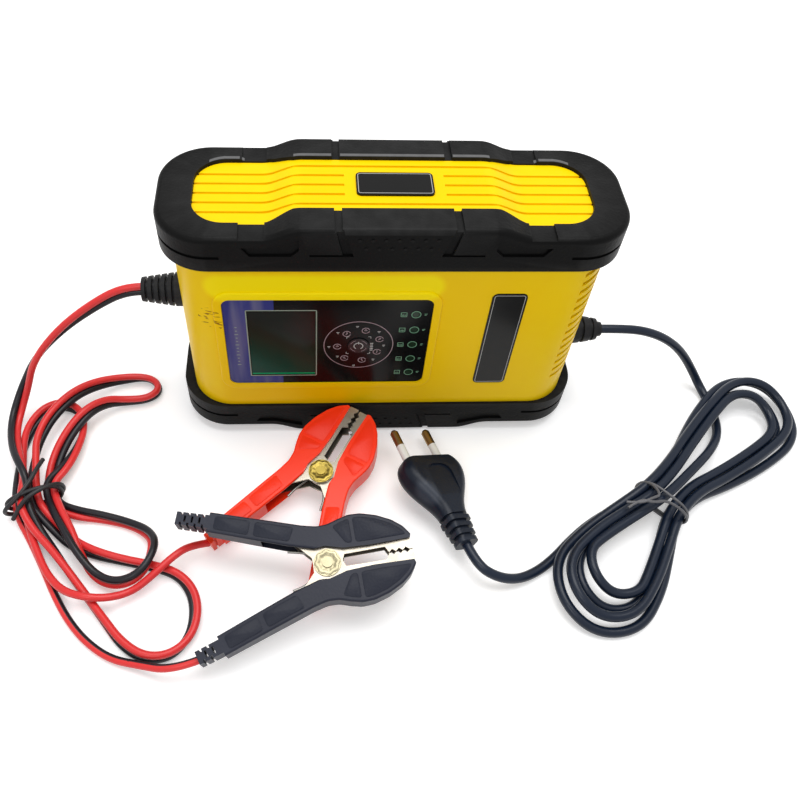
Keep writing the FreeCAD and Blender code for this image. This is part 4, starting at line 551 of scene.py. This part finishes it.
# each clamp's place, and how far inside the full boot's end its wire stops
redHeading = math.radians(58.5)
clampPlaces = {
    "black": {"pivot": (-27.7, -111.6, 20.8), "heading": 7.67, "tiltAxis": (0.982, -0.187, 0),
              "tilt": 12.9, "fixedSide": -1, "inBoot": 3.68},
    "red": {"pivot": (-29.3, -63.2, 13.1), "heading": 58.5,
            "tiltAxis": (math.sin(redHeading), -math.cos(redHeading), 0),
            "tilt": 8, "fixedSide": 1, "inBoot": 8.28}}
clampShape = {"scale": 0.92, "bootEnd": (-64.4, 32.1), "bootWay": (-0.953, 0.302)}


def clampTurn(s):
    return (Matrix.Rotation(math.radians(s["tilt"]), 4, Vector(s["tiltAxis"]))
            @ Matrix.Rotation(math.radians(s["heading"]), 4, "Z"))


def bootSpot(name):
    s, c = clampPlaces[name], clampShape
    x, y = (c["scale"] * c["bootEnd"][i] - s["inBoot"] * c["bootWay"][i] for i in (0, 1))
    return clampTurn(s) @ Vector((x, s["fixedSide"] * y, 0)) + Vector(s["pivot"])


# the hank of the mains lead: levels of its three layers, and the shape of a lobe
tieMains = {"place": (133, -72), "layers": (2.3, 7.3, 12.3), "half": 9, "lift": 1.5,
            "inset": 3, "spread": (0.45, 0.86), "climb": 0.6, "foldShare": 0.8}


def hankLobe(angle, reach, half, start, end, heights, insetSide, runs):
    # out from the tie, round the fold and back to the tie
    s = tieMains
    along = Vector((math.cos(math.radians(angle)), math.sin(math.radians(angle)), 0))
    across = Vector((-along.y, along.x, 0))
    outHalf = half - (s["inset"] if insetSide == "out" else 0)
    backHalf = half - (s["inset"] if insetSide == "back" else 0)
    outWide, backWide = outHalf - start, backHalf - end
    mean = (outHalf + backHalf) / 2
    shift = (backHalf - outHalf) / 2
    bend = mean * math.tan(math.pi / 8)
    fold = reach - mean + bend * s["foldShare"]
    (near, far), (little, most) = runs, s["spread"]
    levels = [s["layers"][i] for i in heights]
    climbed = levels[0] + (levels[1] - levels[0]) * s["climb"]
    flat = [(s["half"], -start, levels[0] + s["lift"]),
            (near, -start - outWide * little, climbed), (far, -start - outWide * most, levels[1]),
            (fold, -outHalf, levels[1]), (reach, shift - bend, levels[2]),
            (reach, shift + bend, levels[3]), (fold, backHalf, levels[4]),
            (far, end + backWide * most, levels[4]), (near, end + backWide * little, levels[5]),
            (s["half"], end, levels[5] + s["lift"])]
    tie = Vector((*s["place"], 0))
    return [tie + along * a + across * b + Vector((0, 0, z)) for a, b, z in flat]


hankIn = [
    (106.4, 0, 41.5), (114, 0, 41.5), (126, 0.2, 40.5), (137, 0.5, 36.5), (147.5, 0.8, 29.5),
    (156, 0.3, 21), (163.5, -1.5, 11), (168.5, -6, 4), (171, -15, 2.3), (171.5, -27, 2.3),
    (168, -38.5, 4.5), (159, -50, 9), (148.5, -60, 13)]
# angle, reach, half width, start and end beside the tie, layers; in turn below and above
hankLobes = [
    (226, 63, 14.8, 0, 4.6, (2, 2, 2, 1, 1, 1)),
    (40, 78.5, 14.8, 4.6, 4.6, (1, 1, 1, 2, 2, 2)),
    (226, 75.5, 19.4, 4.6, 9.2, (2, 2, 2, 1, 1, 1)),
    (39.8, 89, 19.4, 9.2, 9.2, (1, 1, 1, 2, 2, 2)),
    (226, 80.5, 24, 9.2, 9.2, (2, 1, 1, 0, 0, 0)),
    (39.6, 93, 24, 9.2, 6.9, (0, 0, 0, 1, 1, 1)),
    (226, 69, 17.1, 6.9, 4.6, (1, 1, 1, 0, 0, 0)),
    (39.8, 83.5, 17.1, 4.6, 6.9, (0, 0, 0, 1, 1, 0))]
lobeSides = (("out", (26, 44)), ("back", (28, 52)))
hankOut = [
    (118, -73, 4), (107, -77.5, 2.4), (94, -84.5, 2.3), (83, -93, 2.3), (74, -101.5, 2.3),
    (65, -108, 2.3), (55, -112.5, 4.2), (45, -112.8, 8)]
plugPlace = {"face": (19, -56, 11.3), "heading": 108.6, "roll": 24, "tail": 45, "straight": 10.3}
plugTurn = (Matrix.Rotation(math.radians(plugPlace["heading"]), 4, "Z")
            @ Matrix.Rotation(math.radians(plugPlace["roll"]), 4, "X"))
plugAxis = plugTurn @ Vector((1, 0, 0))
plugEnd = Vector(plugPlace["face"]) - plugAxis * plugPlace["tail"]


def layCord(name, points, diameter, material):
    curve = bpy.data.curves.new(name, "CURVE")
    curve.dimensions = "3D"
    curve.bevel_depth = diameter / 2
    curve.bevel_resolution = 5
    curve.resolution_u = 10
    curve.use_fill_caps = True
    spline = curve.splines.new("NURBS")
    spline.points.add(len(points) - 1)
    for point, place in zip(spline.points, points):
        point.co = (place[0] / 1000, place[1] / 1000, place[2] / 1000, 1)
    spline.order_u = 3
    spline.use_endpoint_u = True
    cord = bpy.data.objects.new(name, curve)
    scene.collection.objects.link(cord)
    curve.materials.append(material)
    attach(cord, "charger")
    return cord


cordSizes = {"pairHalf": 1.62, "lead": 0.0033, "mains": 0.0044}
redRoute = (beside(pairRoute, cordSizes["pairHalf"]) + [Vector(p) for p in redEnd]
            + [bootSpot("red")])
blackRoute = (beside(pairRoute, -cordSizes["pairHalf"]) + [Vector(p) for p in blackEnd]
              + [bootSpot("black")])
redLead = layCord("redLead", redRoute, cordSizes["lead"], finish["redWire"])
blackLead = layCord("blackLead", blackRoute, cordSizes["lead"], finish["blackWire"])
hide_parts("red_wire")
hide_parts("black_wire")
mainsRoute = list(hankIn)
for i, lobe in enumerate(hankLobes):
    mainsRoute += hankLobe(*lobe, *lobeSides[i % 2])
mainsRoute += hankOut + [plugEnd - plugAxis * plugPlace["straight"], plugEnd]
mainsLead = layCord("mainsLead", mainsRoute, cordSizes["mains"], finish["mainsJacket"])
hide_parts("mains_cord")
print("cords laid")


# small raised details on the CAD nodes: the most of a side that a rounded corner takes, the
# limit of a mitre, and how far a plate's side stops short of its top, as a share of its bevel
cornerShare, mitreLimit, bevelFall = 0.45, 0.4, 0.6


def roundLoop(corners, radius, steps=4):
    # a closed counter-clockwise loop with rounded corners
    loop = [Vector(corner) for corner in corners]
    if sum(loop[i - 1].cross(loop[i]) for i in range(len(loop))) < 0:
        loop.reverse()
    out = []
    for i, spot in enumerate(loop):
        before, after = loop[i - 1] - spot, loop[(i + 1) % len(loop)] - spot
        reach = min(radius, before.length * cornerShare, after.length * cornerShare)
        start, end = spot + before.normalized() * reach, spot + after.normalized() * reach
        for k in range(steps + 1):
            t = k / steps
            out.append(start * (1 - t) ** 2 + spot * (2 * t * (1 - t)) + end * t * t)
    return out


def insetLoop(loop, amount):
    # the loop moved inwards, corner by corner
    out = []
    for i, spot in enumerate(loop):
        before = (spot - loop[i - 1]).normalized()
        after = (loop[(i + 1) % len(loop)] - spot).normalized()
        inward = Vector((-before.y - after.y, before.x + after.x)).normalized()
        across = inward.dot(Vector((-before.y, before.x)))
        out.append(spot + inward * (amount / max(mitreLimit, across)))
    return out


def arcLoop(centre, inner, outer, start, end, steps=12):
    # a bent bar between two radii, angles in degrees
    angles = [math.radians(start + (end - start) * k / steps) for k in range(steps + 1)]
    spots = [(outer * math.cos(a), outer * math.sin(a)) for a in angles]
    spots += [(inner * math.cos(a), inner * math.sin(a)) for a in reversed(angles)]
    return [Vector((centre[0] + x, centre[1] + y)) for x, y in spots]


def discLoop(centre, radius, steps=28):
    return [Vector((centre[0] + radius * math.cos(a), centre[1] + radius * math.sin(a)))
            for a in (2 * math.pi * k / steps for k in range(steps))]


def barLoop(centre, width, height, angle=0, corner=0.2):
    turn = Matrix.Rotation(math.radians(angle), 2)
    corners = [turn @ Vector((x * width / 2, y * height / 2)) + Vector(centre)
               for x, y in ((-1, -1), (1, -1), (1, 1), (-1, 1))]
    return roundLoop(corners, corner)


def bridge(mesh, rings, closed=False):
    # faces between rings of one length, capped at both ends or closed into a ring
    made = [[mesh.verts.new(spot) for spot in ring] for ring in rings]
    steps = list(zip(made, made[1:])) + ([(made[-1], made[0])] if closed else [])
    for lower, upper in steps:
        for i in range(len(lower)):
            k = (i + 1) % len(lower)
            mesh.faces.new((lower[i], lower[k], upper[k], upper[i]))
    if not closed:
        mesh.faces.new(list(reversed(made[0])))
        mesh.faces.new(made[-1])


def addPlate(mesh, loop, place, foot, top, edge):
    # a plate with a bevelled upper edge; foot and top are heights, or functions of the spot
    def level(height, spot):
        return height(spot) if callable(height) else height

    def ring(spots, height, less=0.0):
        return [place @ Vector((*spot, level(height, spot) - less)) for spot in spots]
    inner = insetLoop(loop, edge)
    bridge(mesh, [ring(loop, foot), ring(loop, top, edge * bevelFall), ring(inner, top)])


def addHoop(mesh, outer, inner, place, foot, top):
    # a raised line between two loops of one length
    bridge(mesh, [[place @ Vector((*spot, z)) for spot in loop] for loop, z in (
        (outer, foot), (outer, top), (inner, top), (inner, foot))], closed=True)


def addPiece(name, mesh, material, body="charger", slot=None, smooth=35):
    bmesh.ops.recalc_face_normals(mesh, faces=mesh.faces)
    data = bpy.data.meshes.new(name)
    mesh.to_mesh(data)
    mesh.free()
    for face in data.polygons:
        face.use_smooth = True
    data.set_sharp_from_angle(angle=math.radians(smooth))
    data.materials.append(material)
    piece = bpy.data.objects.new(name, data)
    scene.collection.objects.link(piece)
    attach(piece, body)
    return piece


# pads moulded on the clamp handles, and the pressed ring on each rivet
handlePads = {
    "proud": 0.42, "sink": 0.5, "edge": 0.35, "corner": 1.4,
    "outlines": (
        ((-46.6, 29.6), (-31.5, 24.4), (-33.4, 18.2), (-48.6, 23.9)),
        ((-29.3, 23.6), (-12.6, 18), (-15.6, 12), (-31.2, 17.4)),
        ((4.5, 15.6), (8.5, 17), (12.4, 18), (12.4, 6.9), (9.5, 7.1)),
        ((14, 18.2), (17.6, 18), (24.2, 16.1), (30.3, 13.1), (34.8, 9.6), (36.9, 6.8),
         (22, 6.6), (14, 6.8)))}
# a handle is thickest between its tail and its front and tapers outwards from there
handleShape = {"half": 6.1, "tail": -20, "tailTaper": 1.4 / 47, "front": 12,
               "frontTaper": 0.7 / 27}
# the profile gives shares of the radius and heights, from the foot up and over
rivetRing = {"radius": 5.55, "wave": 0.35, "lobes": 8, "hole": 2.5, "steps": 96,
             "profile": ((1.0, 5.3), (1.0, 5.7), (0.94, 5.85), (0.72, 5.85), (0.62, 5.55)),
             "holeHeights": (5.55, 5.3)}


def handleHalf(spot):
    # half the thickness of a handle at one place along it
    s = handleShape
    return (s["half"] - max(0, s["tail"] - spot.x) * s["tailTaper"]
            - max(0, spot.x - s["front"]) * s["frontTaper"])


def clampFrame(name):
    s = clampPlaces[name]
    return (Matrix.Translation(Vector(s["pivot"]) / 1000) @ clampTurn(s)
            @ Matrix.Scale(clampShape["scale"] / 1000, 4))


def addPads(clamp, side, body, s):
    place = clampFrame(clamp)
    mesh = bmesh.new()
    for outline in s["outlines"]:
        loop = roundLoop([(x, y * side) for x, y in outline], s["corner"])
        for face in (1, -1):
            turned = place @ Matrix.Diagonal((1, 1, face, 1))
            addPlate(mesh, loop, turned, lambda spot: handleHalf(spot) - s["sink"],
                     lambda spot: handleHalf(spot) + s["proud"], s["edge"])
    kind = "fixed" if body == "charger" else "moving"
    addPiece(clamp + kind.title() + "Pads", mesh, finish[clamp + "Pad"], body, clamp + "_sleeve")


def addRivetRing(clamp, material, s):
    # a wavy ring with a round hole, on both faces
    place = clampFrame(clamp)
    mesh = bmesh.new()
    angles = [2 * math.pi * k / s["steps"] for k in range(s["steps"])]
    wavy = [s["radius"] + s["wave"] * math.cos(s["lobes"] * a) for a in angles]
    rims = [([radius * share for radius in wavy], height) for share, height in s["profile"]]
    rims += [([s["hole"]] * s["steps"], height) for height in s["holeHeights"]]
    for face in (1, -1):
        bridge(mesh, [[place @ Vector((math.cos(a) * radius, math.sin(a) * radius, height * face))
                       for a, radius in zip(angles, radii)] for radii, height in rims],
               closed=True)
    addPiece(clamp + "RivetRing", mesh, finish[material], slot="rivet")


for clamp in ("red", "black"):
    fixedSide = clampPlaces[clamp]["fixedSide"]
    addPads(clamp, fixedSide, "charger", handlePads)
    addPads(clamp, -fixedSide, clamp + "_handle", handlePads)
addRivetRing("red", "rivetGold", rivetRing)
addRivetRing("black", "rivetBrass", rivetRing)
print("clamp details made")

# marks printed on the control panel; a bar is given as across, upward, width and height,
# an arc as its two radii and its start and end angle
panelMarks = {
    "face": -27.9, "buttonFace": -28.4, "foot": -0.1, "proud": 0.05, "edge": 0.03,
    "dial": (-13, 62.5), "dialLine": (15.2, 14.8), "dialSteps": 96,
    "icons": ((2.8, 9.4), (9, 3.9), (8.3, -4.4), (1.9, -9.9), (-5.9, -8.5), (-9.2, -0.8),
              (-5.3, 7.4)),
    "iconArc": (1.45, 1.85, 15, 345), "iconBars": ((0, 0, 1.5, 0.4), (0, 0.75, 0.8, 0.3)),
    "iconTurn": 40,
    "ticks": ((-0.9, 12.1), (8.5, 8.8), (11, 0), (6.9, -9.4), (-1.6, -13.5), (-9, -7.2),
              (-12.8, -0.8), (-9.1, 8.3)),
    "tickBars": ((0, 0, 1.3, 0.35), (0, -0.7, 0.8, 0.25)),
    "dialBars": [(5.7, -3.2 + 1.1 * k, 1.4, 0.5) for k in range(5)]
    + [(left * x, down * z, wide, high) for left in (-1, 1) for down in (-1, 1)
       for x, z, wide, high in ((4.7, 5.5, 1.2, 0.25), (5.2, 5, 0.25, 1.2))],
    "lampX": 10.5, "lampZ": [43.9 + 9.45 * i for i in range(5)], "lampRing": (2.1, 1.75),
    "lampBars": ((5.3, 1.2, 2.6, 0.3), (5.3, -1.2, 2.6, 0.3), (4.1, 0, 0.3, 2.6),
                 (6.5, 0, 0.3, 2.6), (14.6, 0.35, 1.3, 0.3), (14.4, -0.35, 0.9, 0.3)),
    "levelBars": [[(4.6 + 0.45 * k, -0.3, 0.25, 0.6 + 0.25 * ((k + i) % 3)) for k in range(4)]
                  for i in range(5)],
    "window": ((-60.7, 42), (-31, 42), (-31, 84.7), (-60.7, 84.7)), "windowCorner": 0.8,
    "windowLine": 0.5,
    "stripBars": [(-65.2, 50 + 2.2 * k, 0.9 if k % 3 else 1.6, 0.35) for k in range(12)],
    "buttonArc": (1.75, 2.15, -60, 240), "buttonBars": ((0, 1.9, 0.4, 1.6),),
    "rimArcs": [(3.55, 3.75, 20 + 90 * k, 70 + 90 * k) for k in range(4)]}


def frontPlace(face):
    # panel coordinates (across, upward, out) in millimetres to the world
    return Matrix(((0.001, 0, 0, 0), (0, 0, -0.001, face / 1000), (0, 0.001, 0, 0), (0, 0, 0, 1)))


def addPanelMarks(s):
    panel, cap = frontPlace(s["face"]), frontPlace(s["buttonFace"])
    dial = s["dial"]

    def shifted(centre, x, z):
        return centre[0] + x, centre[1] + z

    def bars(centre, rows, turn=0):
        return [barLoop(shifted(centre, x, z), wide, high, turn) for x, z, wide, high in rows]

    def plates(name, loops, ink, place=panel, **more):
        mesh = bmesh.new()
        for loop in loops:
            addPlate(mesh, loop, place, s["foot"], s["proud"], s["edge"])
        addPiece(name, mesh, finish[ink], **{"slot": "panel_sheet", **more})

    def hoops(name, pairs, ink):
        mesh = bmesh.new()
        for outer, inner in pairs:
            addHoop(mesh, outer, inner, panel, s["foot"], s["proud"])
        addPiece(name, mesh, finish[ink], slot="panel_sheet")

    hoops("dialLine", [[discLoop(dial, radius, s["dialSteps"]) for radius in s["dialLine"]]],
          "ringInk")
    loops = []
    for i, place in enumerate(s["icons"]):
        centre = shifted(dial, *place)
        loops += [arcLoop(centre, *s["iconArc"])] + bars(centre, s["iconBars"], s["iconTurn"] * i)
    plates("dialIcons", loops, "ringInk")
    loops = bars(dial, s["dialBars"])
    for place in s["ticks"]:
        loops += bars(shifted(dial, *place), s["tickBars"])
    plates("dialTicks", loops, "printInk")
    hoops("lampRings", [[discLoop((s["lampX"], z), radius) for radius in s["lampRing"]]
                        for z in s["lampZ"]], "greenInk")
    loops = []
    for z, levels in zip(s["lampZ"], s["levelBars"]):
        loops += bars((0, z), s["lampBars"]) + bars((0, z), levels)
    plates("lampIcons", loops, "greenInk")
    loop = roundLoop(s["window"], s["windowCorner"])
    hoops("windowFrame", [(loop, insetLoop(loop, s["windowLine"]))], "frameInk")
    plates("stripTicks", bars((0, 0), s["stripBars"]), "frameInk")
    button = {"place": cap, "slot": "button", "body": "mode_button_body"}
    plates("buttonMark", [arcLoop(dial, *s["buttonArc"])] + bars(dial, s["buttonBars"]),
           "printInk", **button)
    plates("buttonRim", [arcLoop(dial, *arc) for arc in s["rimArcs"]], "ringInk", **button)


addPanelMarks(panelMarks)
print("panel marks made")


# thin pale lines round the name plate and the badge
plateLines = {
    "corner": 1.2, "wide": 0.25,
    "plates": {
        "nameLine": (frontPlace(-27.8), ((42, 36.3), (55.1, 36.3), (55.1, 92.7), (42, 92.7)),
                     -0.1, 0.05),
        "badgeLine": (Matrix.Diagonal((0.001, 0.001, 0.001, 1)),
                      ((-14.7, -6.1), (14.7, -6.1), (14.7, 6.1), (-14.7, 6.1)),
                      127.2, 127.35)}}
for name, (place, corners, foot, top) in plateLines["plates"].items():
    mesh = bmesh.new()
    loop = roundLoop(corners, plateLines["corner"])
    addHoop(mesh, loop, insetLoop(loop, plateLines["wide"]), place, foot, top)
    addPiece(name, mesh, finish["printInk"], slot="bare_plate")


# painted highlight: pale strips on the rear inner edge of the upper bumper, where that edge
# catches the light;
# "back" and "front" limit the search for that edge, which the bumper's own mesh gives
paintedRimHighlights = {"spans": ((-74, -60), (-40, -24.8), (-21.2, 21.2), (24.8, 40), (60, 74)),
             "wide": 1.8, "proud": 0.04, "sink": 0.1, "bevel": 0.15, "inset": 0.5, "step": 2,
             "back": 26.0, "front": 8, "stride": 0.2, "above": 200, "lowest": 121}


def addPaintedRimHighlights(s):
    bumper = nodes["upper_bumper"]
    spots = [bumper.matrix_world @ vertex.co for vertex in bumper.data.vertices]
    tree = BVHTree.FromPolygons(spots, [list(face.vertices) for face in bumper.data.polygons])

    def surface(x, y):
        # the bumper's height in millimetres, or nothing beside its upper face
        above = Vector((x / 1000, y / 1000, s["above"] / 1000))
        hit = tree.ray_cast(above, Vector((0, 0, -1)))[0]
        return hit.z * 1000 if hit and hit.z > s["lowest"] / 1000 else None

    mesh = bmesh.new()
    for start, end in s["spans"]:
        count = max(2, round((end - start) / s["step"]))
        rings = []
        for k in range(count + 1):
            x = start + (end - start) * k / count
            y = s["back"]
            while y > s["front"] and surface(x, y) is not None:
                y -= s["stride"]
            near, far = y + s["inset"], y + s["inset"] + s["wide"]
            low, high = surface(x, near), surface(x, far)
            if None in (low, high):
                continue
            ring = [(near, low - s["sink"]), (far, high - s["sink"]),
                    (far - s["bevel"], high + s["proud"]), (near + s["bevel"], low + s["proud"])]
            rings.append([Vector((x, a, b)) / 1000 for a, b in ring])
        if len(rings) > 1:
            bridge(mesh, rings)
    addPiece("paintedRimHighlights", mesh, finish["rimHighlightGrey"], slot="black_bumper")


addPaintedRimHighlights(paintedRimHighlights)
print("plate lines and strips made")


# twist ties: thin covered wire laid twice round each bundle, ends twisted or loose
tieRoutes = {
    "leadTwist": (0.002, "blackTie", "lead_tie", "black_tie", [
        (-155.6, -52, 12.6), (-156.6, -58, 14.9), (-158.4, -65, 14.9), (-162, -72, 14),
        (-168.4, -76.4, 10), (-169.6, -75.5, 4.5), (-164.5, -73.4, 0.9), (-152, -68.6, 0.9),
        (-146, -65.6, 4.5), (-146.6, -65.4, 11), (-152, -67.2, 14.3), (-160, -70.4, 14.4),
        (-168, -72.9, 11), (-169.3, -72.6, 4.5), (-164.5, -71, 0.9), (-152, -66.3, 0.9),
        (-145.6, -63.2, 4.5), (-146.2, -63.4, 11), (-151.6, -68, 14.9), (-157.6, -73, 15.2),
        (-161, -76.2, 12.8), (-164.8, -79.6, 7)]),
    "mainsTwist": (0.0013, "greyTie", "mains_tie", "grey_tie", [
        (106.5, -86, 18.6), (112, -82.8, 20.4), (118.4, -84.6, 20.2), (124, -83, 19.2),
        (130, -86, 17.6), (135.2, -88.4, 13), (136, -88, 6), (132.6, -84, 0.8), (124, -75.4, 0.8),
        (117.6, -69.4, 5), (117.4, -69, 12), (121.4, -72.6, 17.3), (127, -79, 17.9),
        (133.4, -85, 16.5), (136.4, -87.4, 11), (136.2, -86.4, 5), (133, -82.6, 0.8),
        (124.6, -74, 0.8), (118.8, -68.4, 5), (118.6, -68.4, 12), (121.6, -73.5, 17.6),
        (122.8, -80, 18.8), (118.4, -82.4, 20.8), (112, -84.8, 20), (106.3, -83.2, 18.8)])}
for name, (wide, material, node, slot, route) in tieRoutes.items():
    tie = layCord(name, route, wide, finish[material])
    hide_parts(node)


# floor, backdrop and light
stageSettings = {"tone": 0.9, "rough": (0.85, 0.95), "glow": 0.32, "world": 0.42, "half": 3.0,
                 "height": -0.0002}


def seenDirectly(tree):
    # 1 for camera, glossy and transmission rays
    path = addNode(tree, "LightPath").outputs
    total = path["Is Camera Ray"]
    for label in ("Is Glossy Ray", "Is Transmission Ray"):
        total = calculate(tree, "MAXIMUM", total, path[label])
    return total


def makeStage(s):
    mesh = bpy.data.meshes.new("studioFloor")
    mesh.from_pydata([(x * s["half"], y * s["half"], s["height"])
                      for x, y in ((-1, -1), (1, -1), (1, 1), (-1, 1))], [], [(0, 1, 2, 3)])
    floor = bpy.data.objects.new("studioFloor", mesh)
    scene.collection.objects.link(floor)
    material, tree, shader = newMaterial("studioFloor", Specular_IOR_Level=0.1,
                                         Emission_Strength=s["glow"])
    connect(tree, shader["Base Color"], cloudyBase(tree, shader, {
        "color": s["tone"], "other": s["tone"], "cloudScale": 2, "rough": s["rough"]}))
    connect(tree, shader["Emission Color"], seenDirectly(tree))
    mesh.materials.append(material)
    world = bpy.data.worlds.new("studioWorld")
    scene.world = world
    world.use_nodes = True
    light = world.node_tree.nodes["Background"].inputs
    light["Color"].default_value = (1, 1, 1, 1)
    connect(world.node_tree, light["Strength"],
            ramp(world.node_tree, seenDirectly(world.node_tree), To_Min=s["world"]))


def addLamp(name, place, aim, size, power):
    data = bpy.data.lights.new(name, "AREA")
    data.energy = power
    data.shape = "RECTANGLE"
    data.size, data.size_y = size
    lamp = bpy.data.objects.new(name, data)
    scene.collection.objects.link(lamp)
    lamp.location = place
    lamp.rotation_euler = (Vector(aim) - Vector(place)).to_track_quat("-Z", "Y").to_euler()


makeStage(stageSettings)
lamps = [
    ("topLamp", (0.05, 0.1, 1.1), (0.0, -0.02, 0.05), (0.9, 0.7), 10),
    ("keyLamp", (-0.45, -0.75, 0.95), (0, 0, 0.05), (0.4, 0.4), 2.5)]
for lamp in lamps:
    addLamp(*lamp)
scene.view_settings.view_transform = "Standard"
print("stage set")
